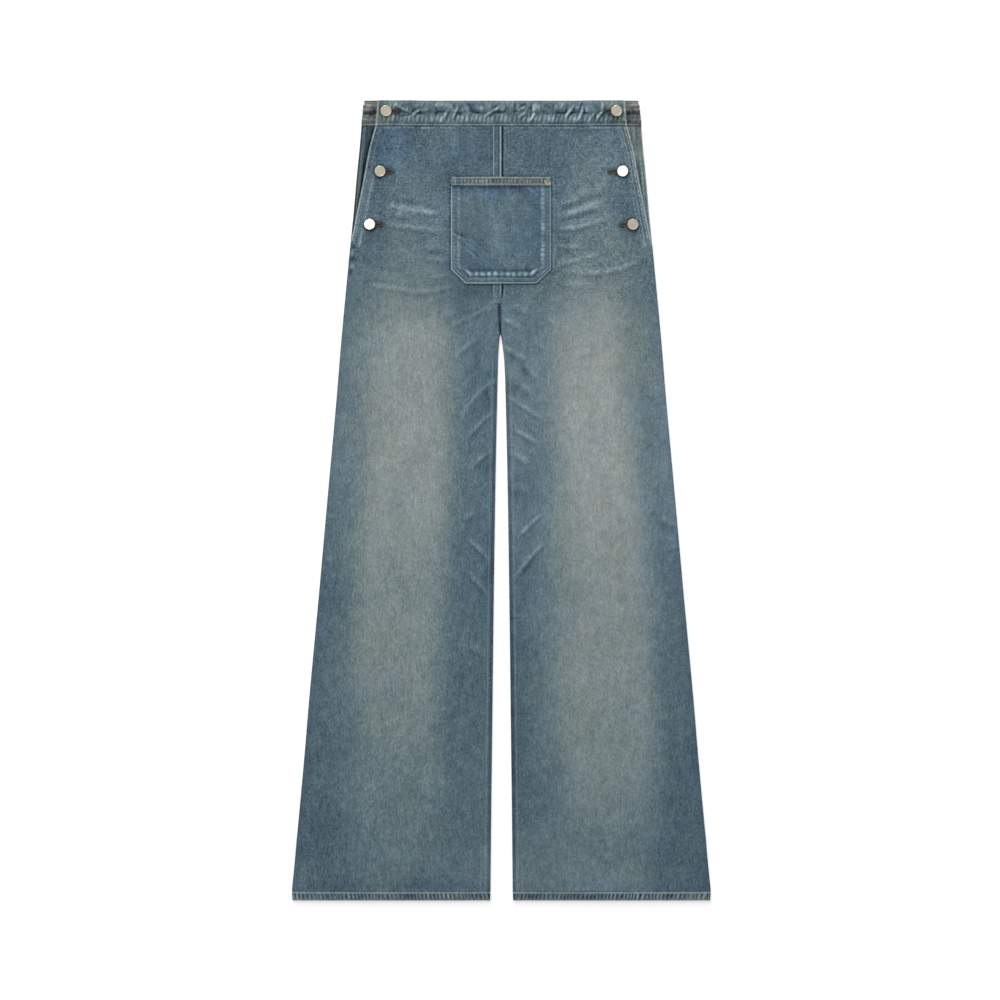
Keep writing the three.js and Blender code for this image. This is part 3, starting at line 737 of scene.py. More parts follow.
# %% Tints of the fronts
def front_tints(x, down, side, from_edge):
    across = side * x
    blue = 0.5 * hill(down, 60, 46) * hill(across, 150, 26) * (0.6 + 0.4 * (side == -1))
    blue = blue + 0.35 * hill(down, HEM_TOP - 6, 9) + 0.3 * (1 - ramp(120, 300, down))
    blue = blue + 0.35 * (1 - ramp(40, 90, across)) * ramp(230, 300, down) * (1 - ramp(640, 800, down))
    outer = 0.35 if side == 1 else 0.12
    blue = blue + outer * ramp(160, 210, across) * ramp(380, 460, down) * (1 - ramp(640, 760, down))
    blue = blue + 0.2 * (1 - ramp(4, 26, from_edge)) * ramp(OPENING_END, OPENING_END + 60, down)
    blue = np.clip(blue + 0.03 + 0.16 * uneven(x, down, 26, 44, 61), 0, 0.9)
    margin = (1 - ramp(8, 14, from_edge)) * (1 - ramp(120, 190, down))
    brown = 0.22 * ramp(1040, 1100, down) * hill(across, 40 if side == 1 else 280, 40)
    brown = brown + 0.2 * margin
    brown = brown + 0.5 * (side == -1) * hill(from_edge, 2, 3) * hill(down, OPENING_END - 14, 8)
    brown = brown + np.clip(0.1 * uneven(x, down, 20, 34, 62), 0, 0.2)
    olive = 0.15 * (1 - ramp(1.5, 4, from_edge)) * (1 - ramp(150, 200, down)) * (side == 1)
    olive = olive + np.clip(0.12 * uneven(x, down, 22, 30, 63), 0, 0.25)
    for slot in slots_in(BAND_END, OPENING_END, side):
        smudge = near_slot(x, down - 1, slot, 4.6)
        brown = brown + (0.5 if side == 1 else 0.9) * smudge
        olive = olive + 0.6 * (side == 1) * smudge
        blue = blue * (1 - near_slot(x, down - 1, slot, 5))
    return blue, brown, olive


# %% The two fronts
def make_front(word, side):
    node = f"front_{word}"
    # Rows lie closer above the knee and columns closer beside the inseam, where the folds are.
    inside = (0.33, 0.44) if side == 1 else (0.67, 0.56)
    x, down = plan(
        node, 78, 440, soften=3, packing_down=(0.39, 0.18), packing_across=inside, close=SEAM_COLUMNS
    )
    x = closed_at_centre("front", x, down, side)
    from_edge = (x[:, -1:] - x) if side == 1 else (x - x[:, :1])
    from_inseam = (x - x[:, :1]) if side == 1 else (x[:, -1:] - x)
    height = wall_heights(node, x, down) + front_relief(x, down, side, from_edge, from_inseam)
    wear_and_shade = front_wear_and_shade(x, down, side, from_edge, from_inseam)
    grain = 1.0 + 0.36 * (1 - ramp(180, 360, down)) + 0.12 * (side == 1)
    tints = front_tints(x, down, side, from_edge)
    looks = looks_of(wear_and_shade, leg_tone(x, down, side) + 2, *tints, grain=grain)
    slots = slots_in(BAND_END, OPENING_END, side)
    return make_cloth(f"denim_{node}", x, down, height, CLOTH, looks, slots)


SIDES = {"left": 1, "right": -1}
cloths = {}
for word, side in SIDES.items():
    cloths[f"front_{word}"] = make_front(word, side)

# %% [markdown]
# ## The backs
#
# The backs carry the garment, so their underside rests flat. Seen from behind they are as plain
# as the fronts, with the same rubbed legs but fainter, a puckered centre seam and inseams, and
# their own creases under the seat and behind the knees. A crease there can only lift off the
# floor, never push into it.

# %% The backs
BACK_CREASES = {
    side: [
        Crease(side * 18, 300, side * 96, 332, 4, 5.0, 0.5, 12),
        Crease(side * 14, 322, side * 70, 356, 3, 4.4, 0.45, 10),
        Crease(side * 40, 286, side * 130, 300, 5, 5.0, 0.4, 8),
        Crease(side * 60, 600, side * 150, 588 + side * 5, 4, 5.0, 0.45, 10),
        Crease(side * 84, 624, side * 176, 618 - side * 4, 5, 5.4, 0.5, 11),
        Crease(side * 50, 654, side * 130, 648, 3, 4.6, 0.35, 8),
        Crease(side * 150, 664 + side * 6, side * 214, 652, 2, 4.6, 0.3, 7),
        Crease(side * 30, 420, side * 66, 452, 2, 4.4, 0.3, 7),
    ]
    for side in SIDES.values()
}


def make_back(word, side):
    node = f"back_{word}"
    x, down = plan(node, 50, 300, soften=3)
    x = closed_at_centre("back", x, down, side)
    from_side = (x[:, -1:] - x) if side == 1 else (x - x[:, :1])
    from_centre = (x - x[:, :1]) if side == 1 else (x[:, -1:] - x)
    free = ramp(3, 20, from_side) * ramp(3, 20, from_centre)
    free = free * ramp(BAND_END, BAND_END + 20, down) * (1 - ramp(HEM_TOP - 20, HEM_TOP - 3, down))
    lift = crease_relief(x, down, BACK_CREASES[side]) + 0.15 * (1 + uneven(x, down, 60, 90, 71))
    height = wall_heights(node, x, down) + free * lift
    tone = 101 + 0.6 * (leg_tone(x, down, side) - 101) + 2.5 * uneven(x, down, 34, 60, 72)
    tone = tone + 8 * hill(down, 230, 70) * hill(side * x, 105, 60)
    tone = tone + crease_wear_and_shade(x, down, BACK_CREASES[side]) - 9 * (1 - ramp(2, 20, from_side))
    ropes = roping(down, 6.4, 73 + side)
    above = 1 - ramp(CROTCH, CROTCH + 10, down)
    tone = tone + above * (12 * hill(from_centre, 1.2, 1.2) - 9 * hill(from_centre, 5, 2) * ropes)
    tone = tone + inseam_marks(from_centre, down, 75 + side)
    tone = tone - 5 * hill(down, HEM_TOP - 6, 7)
    zone = 101 + 0.6 * (leg_tone(x, down, side) - 101)
    looks = looks_of(tone, zone, 0.3 + 0.15 * uneven(x, down, 40, 60, 77), grain=0.85)
    return make_cloth(f"denim_{node}", x, down, height, CLOTH, looks)


for word, side in SIDES.items():
    cloths[f"back_{word}"] = make_back(word, side)

# %% [markdown]
# ## The button stands
# Under each free front edge lies a narrow strip of the back, the stand that carries the
# buttons. Only its outer few centimetres show. It kept more of its dye because it was covered,
# and its outer edge turns down to the back. The stand on the wearer's right is painted darker
# still as shade, and each has a painted shadow along the edge of the front above it.


# %% The stands under the openings
def make_stand(word, side):
    node = f"underlap_{word}"
    x, down = plan(node, 34, 130, soften=2)
    from_side = (x[:, -1:] - x) if side == 1 else (x - x[:, :1])
    flap = outline(f"front_{word}", down[:, 0], 0)[side == 1]
    past_flap = side * (x - flap[:, None])
    height = wall_heights(node, x, down) + 0.12 * uneven(x, down, 16, 22, 81) * ramp(1, 6, from_side)
    ropes = roping(down, 6.8, 82 + side)
    streaks = uneven(from_side, down, 2.2, 40, 84) + 0.6 * uneven(from_side, down, 5, 16, 85)
    rim = hill(from_side, 0.9, 1.3)
    lower = ramp(150, 172, down)
    if side == 1:
        tone = 105 + 22 * streaks + 30 * rim - 24 * hill(from_side, 2.8, 0.9)
        tone = tone + 34 * hill(from_side, 5.4, 1.2) * (0.4 + ropes) - 24 * hill(from_side, 8, 1)
        blue, brown, olive = 0.1, 0.5 * hill(down, 56, 34), 0.15
    else:
        upper = 1 - ramp(64, 76, down)
        # On the wearer's right the stand kept more dye and is painted darker still as shade.
        tone = 60 + 14 * streaks + 10 * rim + 40 * upper * hill(from_side, 5.5, 2.2) + 10 * lower
        tone = tone + 34 * (1 - upper) * hill(from_side, 4.5, 2.4) - 24 * hill(from_side, 8.2, 1.4)
        tone = tone - 22 * hill(from_side, 1.6, 0.9)
        blue, brown, olive = 0.5 * upper, 0.35 * upper + 0.55 * lower, 0.45 * (1 - upper) * (1 - lower)
    # A painted shadow along the edge of the front that lies over the stand, deeper on the wearer's right.
    tone = tone - (10 + 36 * (side == -1)) * hill(past_flap, 1.0, 1.8)
    looks = looks_of(tone, 104, blue, brown, olive, 0.9)
    return make_cloth(f"denim_{node}", x, down, height, CLOTH, looks)


for word, side in SIDES.items():
    cloths[f"underlap_{word}"] = make_stand(word, side)

# %% [markdown]
# ## The waistband
#
# A waistband is folded double and topstitched, and it shrinks less than its stitching does, so
# washing twists it. Beads of puckered cloth stand along the lower row, slanting tucks run across
# the upper half, and a soft fold lies between them. The crests rub pale, and the hollows and the
# fold are painted dark as shade. Noise alone would give lumps with no direction, so the largest
# tucks are listed one by one, small ones fill the gaps, and the beads follow a wave along the stitches.

# %% The tucks of the front waistband
BAND_TUCKS = [
    Crease(-150, 5, -125, 17, 1, 1.5, 0.5, 34),
    Crease(-126, 22, -113, 12, 0, 1.3, 0.8, 48),
    Crease(-114, 14, -102, 13, 0, 1.6, 0.3, 20),
    Crease(-94, 6, -79, 6, 0, 2.6, 0.3, 24),
    Crease(-92, 13, -80, 12, 0, 1.6, 0.3, 18),
    Crease(-86, 31, -74, 13, 0, 1.9, 0.8, 38),
    Crease(-70, 28, -61, 10, 0, 1.2, 0.9, 50),
    Crease(-36, 7, -24, 12, 1, 3.2, 0.4, 32),
    Crease(-25, 24, -2, 10, -1, 1.5, 0.9, 46),
    Crease(23, 25, 36, 15, 0, 1.5, 0.8, 44),
    Crease(23, 14, 34, 8, 0, 1.5, 0.4, 30),
    Crease(38, 31, 48, 17, 0, 1.2, 1.0, 62),
    Crease(44, 9, 57, 10, 0, 4.0, 0.4, 22),
    Crease(74, 9, 90, 8, 0, 5.0, 0.3, 18),
    Crease(89, 24, 100, 10, 0, 1.3, 1.0, 62),
    Crease(105, 30, 115, 10, 1, 1.4, 0.9, 54),
    Crease(116, 7, 123, 19, 0, 2.0, 0.3, 24),
    Crease(122, 31, 131, 16, 0, 1.4, 0.6, 42),
    Crease(133, 26, 143, 14, 0, 1.4, 0.8, 50),
    Crease(141, 15, 142, 2, 0, 1.4, 0.4, 34),
]
BAND_HOLLOWS = [
    Crease(-142, 23, -125, 20, 0, 1.3, -0.4, -36),
    Crease(-123, 18, -104, 19, 0, 1.5, -0.4, -36),
    Crease(-127, 16, -115, 11, 0, 1.2, -0.3, -24),
    Crease(-95, 22, -85, 14, 0, 2.0, -0.3, -26),
    Crease(-70, 2, -63, 15, 0, 1.6, -0.4, -36),
    Crease(-65, 18, -54, 19, 0, 2.6, -0.5, -40),
    Crease(-47, 1, -39, 18, 0, 3.2, -0.4, -46),
    Crease(-46, 20, -45, 31, 0, 1.2, -0.3, -36),
    Crease(-40, 17, -30, 17, 0, 1.8, -0.3, -38),
    Crease(-13, 13, -4, 5, 0, 1.5, -0.3, -36),
    Crease(-9, 17, 7, 16, 0, 2.0, -0.4, -38),
    Crease(-14, 20, -20, 31, 0, 1.1, -0.3, -36),
    Crease(19, 0, 19, 21, 0, 2.0, -0.4, -44),
    Crease(26, 10, 34, 4, 0, 1.7, -0.3, -38),
    Crease(42, 0, 41, 28, 0, 1.8, -0.5, -50),
    Crease(58, 19, 69, 19, 0, 1.2, -0.3, -32),
    Crease(73, 4, 72, 18, 0, 1.5, -0.3, -30),
    Crease(75, 18, 90, 18, 0, 1.3, -0.3, -34),
    Crease(95, 2, 89, 20, 0, 1.5, -0.5, -46),
    Crease(95, 21, 103, 15, 0, 1.6, -0.4, -34),
    Crease(113, 3, 108, 18, 0, 1.4, -0.4, -42),
    Crease(110, 18, 126, 18, 0, 1.5, -0.3, -28),
    Crease(131, 18, 131, 29, 0, 1.3, -0.3, -32),
    Crease(142, 18, 142, 26, 0, 1.5, -0.3, -34),
]


def small_tucks():
    """Short slanting tucks that fill the gaps between the large ones."""
    dice = np.random.default_rng(91)
    tucks = []
    x = -152
    while x < 150:
        down, size = dice.uniform(5, 13), dice.uniform(5, 9)
        lean = dice.uniform(0.2, 0.9) * (-1 if dice.random() < 0.2 else 1) * size
        pale = dice.uniform(8, 20)
        tucks.append(Crease(x, down + size / 2, x + lean, down - size / 2, 0, 1.3, 0.25, pale))
        x += dice.uniform(5, 10)
    return tucks


# %% The front waistband
def band_beads(x, down, centre, seed, pitch=6.1):
    """Short puckers beside a row of stitches, from 0 to 1."""
    lean = 0.22 + 0.12 * uneven(x, down, 40, 90, seed + 5)
    return roping(x + lean * (down - centre), pitch, seed, 0.8)


def make_front_band():
    node = "waistband_front"
    x, down = plan(node, 400, 36)
    from_end = np.minimum(x - x[:, :1], x[:, -1:] - x)
    inner = ramp(1, 5, from_end)
    fillers = small_tucks()
    folds = BAND_TUCKS + BAND_HOLLOWS + fillers
    beads = band_beads(x, down, 27, 92) * hill(down, 26, 6.5) * (1 - ramp(31, 33, down))
    upper = band_beads(x, down, 5, 98, 7.4) * hill(down, 4.5, 3.2)
    ridge = hill(down, 17 + 1.2 * uneven(x, down, 20, 90, 94), 1.4)
    bumps = crease_relief(x, down, folds) + 0.7 * beads + 0.25 * upper - 0.35 * ridge
    seam = -0.4 * hill(down, 33.7, 1.2) - 0.2 * hill(down, 2.6, 0.8)
    flat = 1 - 0.8 * hill(np.abs(x), 163, 10)
    height = wall_heights(node, x, down) + inner * flat * ramp(0.5, 3, down) * (bumps + seam)
    # Wear and painted shade: rubbed crests, hollows painted dark as shade, and blotches between them.
    tone = 103 + 18 * uneven(x, down, 11, 9, 95) + 11 * uneven(x, down, 4, 4, 96)
    tone = tone + 1.7 * crease_wear_and_shade(x, down, BAND_TUCKS + fillers)
    # The hollows are painted dark as shade.
    tone = tone + 1.2 * crease_wear_and_shade(x, down, BAND_HOLLOWS)
    tone = tone + 16 * upper + 74 * (beads - 0.34) * hill(down, 25.5, 7)
    # The soft fold between the rows is painted dark as shade.
    tone = tone - 22 * ridge * np.clip(0.3 + 0.9 * uneven(x, down, 12, 90, 93), 0, 1)
    dark_spans = np.clip(uneven(x, down, 22, 80, 97) - 0.35, 0, 1)
    tone = tone - 34 * dark_spans * (1 - ramp(13, 20, down))
    # Beside the lower row of stitches, and the band's lowest rim painted dark as the shade at its edge.
    tone = tone - 8 * hill(down, 31.6, 1.0) + 30 * hill(down, 33.8, 1.0) - 14 * ramp(35.2, 35.9, down)
    tone = tone - 12 * (1 - ramp(0.6, 2.2, down))
    tone = tone + 56 * hill(from_end, 1.2, 1.6) - 16 * hill(from_end, 4.6, 1.5)
    # The upper half keeps more dye on both sides of the middle.
    dyed = (0.7 * hill(x, -44, 26) + 0.6 * hill(x, 112, 30)) * (1 - ramp(12, 20, down))
    dyed = dyed * (0.7 + 0.6 * uneven(x, down, 9, 9, 89))
    tone = tone - 9 * dyed
    blue = 0.1 + 1.4 * dark_spans + dyed
    near_end = hill(from_end, 10, 11) * (0.8 + 0.4 * uneven(x, down, 6, 6, 99))
    brown = 0.5 * dark_spans + 0.25 * dyed
    olive = 0.6 * near_end + 0.35 * hill(from_end, 1, 2)
    olive = olive + hill(x, 171, 4) * hill(down, 26, 4)
    slots = [slot for side in SIDES.values() for slot in slots_in(0, BAND_END, side)]
    for slot in slots:
        # Each buttonhole is darkened, partly as soil and partly as painted shade in the slot.
        tone = tone - 54 * near_slot(x, down - 0.8, slot, 3.8)
        brown = brown + (0.3 if slot.x > 0 else 0.7) * near_slot(x, down - 1.5, slot, 3.6)
    looks = looks_of(tone, 115, blue, brown, olive)
    return make_cloth(f"denim_{node}", x, down, height, DOUBLE, looks, slots)


cloths["waistband_front"] = make_front_band()


# %% [markdown]
# The back waistband is one long ribbon that turns round both sides of the body and ends on the
# front. Bending a flat strip would stretch it at the turns, so its points are laid straight onto
# the bent line instead: along one end, round the side, across the back, and the same again.


# %% The back waistband's line
BAND_RETURN = 60  # how far each turned end comes round to the front


def ribbon_section(side_x, end_x, turn):
    """Points (x, height, length along) of the middle of the band's wall, from end to end."""
    radius = turn - DOUBLE / 2
    bend_x = side_x - turn
    angles = np.linspace(math.pi / 2, -math.pi / 2, 13)
    bend = np.stack([bend_x + radius * np.cos(angles), turn + radius * np.sin(angles)], 1)
    end_places = spaced(end_x, bend_x, 26)[:-1]
    end = np.stack([end_places, np.full_like(end_places, turn + radius)], 1)
    half = np.concatenate([end, bend])
    across = np.linspace(bend_x, -bend_x, 150)[1:-1]
    middle = np.stack([across, np.full_like(across, turn - radius)], 1)
    section = np.concatenate([half, middle, half[::-1] * (-1, 1)])
    along = np.concatenate([[0], np.cumsum(np.hypot(*np.diff(section, axis=0).T))])
    return section[:, 0], section[:, 1], along


# %% The back waistband
def make_back_band():
    node = "waistband_back"
    low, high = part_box(node)
    turn = high.z / MM / 2
    rows = spaced(TOP - low.y / MM, TOP - high.y / MM, 22)
    _, side_x = outline(node, rows, 0)
    made = [ribbon_section(s + 1, s - BAND_RETURN, turn) for s in side_x]
    x, height, along = (np.array([row[k] for row in made]) for k in range(3))
    down = np.repeat(rows[:, None], x.shape[1], 1)
    is_end = height > turn
    length = along[:, -1:].mean()
    beads = roping(along + 0.2 * down, 6.3, 111, 0.8) * hill(down, 26, 7)
    tucks = roping(along - 0.8 * down, 11, 112, 1.4) * hill(down, 9, 6)
    lift = np.where(is_end, 0.25, 0.3) * (beads + tucks) * ramp(1, 5, np.minimum(along, length - along))
    bend = ramp(0.4, 1.0, np.abs(height - turn) / (turn - DOUBLE / 2))
    shift = np.where(is_end, 0.5, 1.0) * lift * bend
    height = height + shift
    wrinkles = 22 * uneven(along, down, 7, 5, 113) + 12 * uneven(along, down, 3, 3, 115)
    tone = 97 + wrinkles + 20 * (beads + tucks - 0.5)
    tone = tone + is_end * (26 * hill(down, 7, 5) - 40 * hill(down, 18, 2.4) + 9)
    tone = tone - 24 * is_end * hill(np.abs(x), 178, 3.5)
    # The lower rim is painted dark as the shade at the band's edge.
    tone = tone - 16 * hill(down, 31.4, 1) + 22 * hill(down, 33.6, 0.9) - 26 * ramp(35, 35.8, down)
    brown = np.where(is_end, 0.85, 0.05) + 0.1 * uneven(along, down, 12, 12, 114)
    looks = looks_of(tone, 108, np.where(is_end, 0.0, 0.3), brown)
    cloth = make_cloth(f"denim_{node}", x, down, height, DOUBLE, looks)
    return cloth


cloths["waistband_back"] = make_back_band()

# %% [markdown]
# ## The centre front
#
# The two fronts are joined by a flat felled seam: one edge is folded over the other and sewn
# down with two rows. It shows as a narrow raised strip that ends in a fold, with a painted shadow
# along its free side, and it runs under the pocket and comes out again below it. A strip of its
# own, lying on both fronts, gives the step at the fold that a painted line would lack.


# %% The felled strip
def make_lap():
    node = "centre_front_lap"
    x, down = plan(node, 12, 150)
    worn_width = 0.92  # the share of its width that is left where the fold has drawn back
    x = x[:, :1] + (x - x[:, :1]) * worn_width
    from_fold = x[:, -1:] - x
    below = ramp(POCKET_END - 2, POCKET_END + 3, down)
    under = ramp(POCKET_TOP - 3, POCKET_TOP + 2, down) * (1 - below)
    ropes = roping(down, 5.6, 121)
    relief = (0.22 * ropes * hill(from_fold, 7, 3) - 0.25 * hill(from_fold, 12, 0.9)) * (1 - under)
    height = wall_heights(node, x, down) + relief - 0.12 * hill(from_fold, 2, 0.9) * (1 - under)
    roped = 1 - ramp(SEWN_END - 6, SEWN_END + 8, down)
    tone = body_wear(x, down, 1) + 9 * (ropes - 0.5) * hill(from_fold, 7, 3.5) * roped
    marks = 84 * hill(from_fold, 1.4, 0.9) + 28 * hill(from_fold, 11.2, 1.0)
    marks = marks - 14 * (1 - ramp(0, 0.6, from_fold)) - 14 * (1 - ramp(0, 0.8, x - x[:, :1]))
    marks = marks - 30 * hill(from_fold, 4.2, 0.9) - 10 * hill(from_fold, 9, 1)
    tone = tone + marks * (1 - 0.55 * below) * (1 - ramp(SEWN_END - 2, SEWN_END + 9, down))
    tints = front_tints(x, down, 1, np.full_like(x, 90))
    looks = looks_of(tone, leg_tone(x, down, 1) + 2, *tints, grain=1.2)
    # It thins out where the seam allowances part, staying down on the fronts.
    thin = 1 - 0.85 * ramp(SEWN_END - 6, SEWN_END + 10, down)
    height = height - FELLED / 2 * (1 - thin)
    return make_cloth(f"denim_{node}", x, down, height, FELLED, looks, thin=thin)


cloths["centre_front_lap"] = make_lap()

# %% [markdown]
# ## The patch pocket
#
# One large square pocket sits over the centre front, its lower corners cut off. Its edges are
# turned under, which makes a firm double margin with a beaded ridge where the hidden edge
# ends. All of its lines run at a set distance inside the edge, so that distance is worked out
# once for every point. The mouth has a turned hem with rusty dirt in its puckers, and the cloth
# just below the mouth kept its blue.


# %% Distances on the pocket
CUT_IN, CUT_UP = 21, 20  # how much of each lower corner is cut off


def pocket_edges(x, down):
    """Distance in from the nearest side, cut corner or bottom, and the place along it."""
    slope = math.hypot(CUT_IN, CUT_UP)
    left, right = x - POCKET_LEFT, POCKET_RIGHT - x
    bottom = POCKET_END - down
    corner_left = (left * CUT_UP + bottom * CUT_IN - CUT_IN * CUT_UP) / slope
    corner_right = (right * CUT_UP + bottom * CUT_IN - CUT_IN * CUT_UP) / slope
    inward = np.minimum.reduce([left, right, bottom, corner_left, corner_right])
    sides = np.minimum(left, right)
    sloped = np.minimum(corner_left, corner_right)
    along_slope = (x * CUT_IN + down * CUT_UP * np.sign(x)) / slope
    position = np.where(sides <= inward + 1e-6, down, x)
    position = np.where(sloped <= inward + 1e-6, along_slope, position)
    return inward, position


# %% Creases and patches of the pocket
POCKET_CREASES = [
    Crease(-68, 182, -50, 192, 0, 1.8, -0.3, -24),
    Crease(-60, 189, -26, 218, 1, 1.6, 0.35, 9),
    Crease(-54, 206, -22, 238, -3, 1.6, 0.35, 9),
    Crease(-34, 216, -18, 242, -2, 1.5, 0.25, 8),
    Crease(0, 226, 14, 242, -1, 1.5, 0.25, 7),
    Crease(20, 236, 48, 216, 1, 2.4, 0.2, 5),
    Crease(34, 120, 52, 133, 0, 1.8, 0.3, 11),
    Crease(44, 118, 56, 126, 0, 1.6, 0.2, 8),
    Crease(-44, 120, -26, 128, -1, 2.0, 0.2, 6),
]
POCKET_PATCHES = [
    Patch(-8, 188, 18, 26, 9),
    Patch(-4, 214, 16, 22, 8),
    Patch(-30, 228, 22, 12, -12),
    Patch(-26, 190, 10, 26, -6),
    Patch(22, 224, 16, 16, 4),
    Patch(-50, 150, 14, 40, -3),
    Patch(46, 200, 10, 40, -8),
    Patch(-16, 122, 40, 6, -14),
    Patch(24, 124, 20, 6, -10),
]


def pocket_tints(x, down):
    """Blue below the mouth and in the lower corners, with a little brown and olive."""
    blue = 0.3 + 0.6 * hill(down, 125, 9) + 0.14 * uneven(x, down, 18, 26, 140)
    blue = blue + 0.35 * hill(x, -30, 24) * hill(down, 228, 16) + 0.2 * hill(x, 50, 16)
    brown = np.clip(0.1 * uneven(x, down, 16, 24, 142), 0, 0.2)
    olive = 0.1 * uneven(x, down, 16, 24, 143) + 0.2 * hill(x, -44, 22) * hill(down, 160, 40)
    return blue, brown, np.clip(olive, 0, 0.3)


# %% The pocket
def make_pocket():
    node = "patch_pocket"
    x, down = plan(node, 140, 134)
    inward, position = pocket_edges(x, down)
    ropes = roping(position, 6.0, 131, 0.9)
    big = roping(position, 9.0, 133, 0.8)
    at_bottom = ramp(231, 240, down)
    beads = ropes * (1 - at_bottom) + big * at_bottom
    right = x > 0
    # Inside the edge run a groove, a row of small beads, another groove and the beaded ridge.
    margin = 11.0 + 1.0 * right + (2.6 - 1.0 * right) * at_bottom + 0.9 * uneven(x, down, 9, 9, 136)
    groove_at = 7.4 + 2.6 * at_bottom
    wide = 1.7 + 1.2 * right + (1.0 - 1.0 * right) * at_bottom
    patchy = np.clip(0.75 + 0.7 * uneven(x, down, 40, 13, 134), 0.15, 1.5)
    broken = np.clip(1.15 + 0.8 * uneven(x, down, 8, 30, 132), 0.2, 1.9)
    strength = (0.62 + 0.5 * right) * patchy * (1 - at_bottom) + broken * at_bottom
    ridge = hill(inward, margin, wide) * (0.25 + 0.75 * beads) * strength
    middle_beads = hill(inward, 4.9 + 1.6 * at_bottom, 1.3) * roping(position, 5.4, 135, 0.8)
    groove = hill(inward, 3.2, 0.7) + hill(inward, groove_at, 1.0)
    soft = ramp(0.5, 3, inward)
    rest = crease_relief(x, down, POCKET_CREASES) + 0.16 * uneven(x, down, 26, 34, 137)
    rest = rest * ramp(12, 20, inward)
    relief = soft * (0.5 * ridge + 0.3 * middle_beads - 0.25 * groove) + rest
    height = wall_heights(node, x, down) + relief * ramp(0, 6, down - down.min())
    # Wear: a pale rim, dark lines beside the rows of stitches, and rubbed beads.
    tone = 100 + 5 * uneven(x, down, 26, 40, 138) + 5 * uneven(x, down, 7, 10, 139)
    for p in POCKET_PATCHES:
        tone = tone + p.change * hill(x, p.x, p.across) * hill(down, p.down, p.along)
    tone = tone + 1.8 * crease_wear_and_shade(x, down, POCKET_CREASES)
    tone = tone + (60 - 26 * right) * hill(inward, 1.3, 1.0) - 26 * (1 - ramp(0, 0.6, inward))
    tone = tone - 18 * hill(inward, 3.6, 0.9) + 30 * middle_beads + (72 + 24 * at_bottom) * ridge
    tone = tone - 26 * hill(inward, groove_at, 1.2) - (6 + 8 * right) * hill(inward, margin + 4.6, 1.2)
    tone = tone - at_bottom * (26 * hill(inward, margin, 4) * (1 - big) + 20 * hill(inward, 20, 2.6))
    # A painted shadow just below the hem of the mouth.
    tone = tone - 24 * hill(down, POCKET_TOP + 14.6, 1.5)
    at_corner = at_bottom * hill(np.abs(x - 0.4), 61, 8)
    tone = tone + 48 * hill(inward, 5.6, 0.9) * at_corner - 40 * hill(inward, 7.6, 1.0) * at_corner
    tone = tone + 40 * hill(inward, 9.6, 0.9) * at_corner - 22 * hill(inward, 3.2, 0.9) * at_corner
    tone = tone + 70 * (ropes - 0.5) * hill(inward, 7, 4) * at_corner
    looks = looks_of(tone, 102, *pocket_tints(x, down), grain=1.2)
    return make_cloth(f"denim_{node}", x, down, height, CLOTH, looks)


# %% The hem of the pocket's mouth
def make_pocket_hem():
    node = "pocket_hem"
    x, down = plan(node, 130, 10)
    from_top, from_foot = down - down.min(), down.max() - down
    from_end = np.minimum(x - x[:, :1], x[:, -1:] - x)
    ropes = roping(x, 5.0, 141, 0.7)
    band = hill(from_top, 6.4, 2.4)
    relief = 0.4 * ropes * band - 0.2 * hill(from_foot, 2.2, 0.8)
    height = wall_heights(node, x, down) + relief * ramp(1, 5, from_end)
    worn = 0.8 + 0.5 * uneven(x, down, 9, 40, 144)
    tone = 108 + worn * (24 * hill(from_top, 1.6, 1.4) + 32 * hill(from_foot, 1.8, 1.6))
    tone = tone - 8 * (1 - ramp(0, 0.8, from_top)) + 104 * (ropes - 0.42) * band
    tone = tone - 8 * hill(from_top, 3.2, 0.8) - 12 * hill(from_foot, 4, 0.8)
    tacked = hill(from_end, 5.5, 2.6) * hill(from_top, 6, 4)
    tone = tone + 52 * tacked - 34 * hill(from_end, 10.5, 1.8) - 26 * hill(from_end, 0.4, 0.8)
    end_bead = hill(x, POCKET_RIGHT - 4, 4) * hill(from_foot, 3, 3)
    tone = tone + 60 * end_bead
    middle = ramp(10, 22, x - POCKET_LEFT)
    dirt = middle * (0.8 + 0.25 * uneven(x, down, 12, 5, 145))
    brown = dirt * (0.5 * hill(from_top, 1.6, 3) + 0.4 * band + 0.7 * hill(from_foot, 1.8, 1.8))
    olive = end_bead + 0.35 * ramp(20, 70, x) * band
    looks = looks_of(tone, 112, 0.25 * (1 - middle), brown, olive)
    return make_cloth(f"denim_{node}", x, down, height, DOUBLE, looks)


cloths["patch_pocket"] = make_pocket()
cloths["pocket_hem"] = make_pocket_hem()

# %% [markdown]
# ## The hems
#
# A stitched hem feeds its two layers unevenly, which puckers it into short ropes that lean a
# little. They could be modelled one by one, but a wave along the hem with an uneven pitch gives
# hundreds at once. Each rope's crest is rubbed pale, its hollow stays dark, and the folded foot
# is worn.


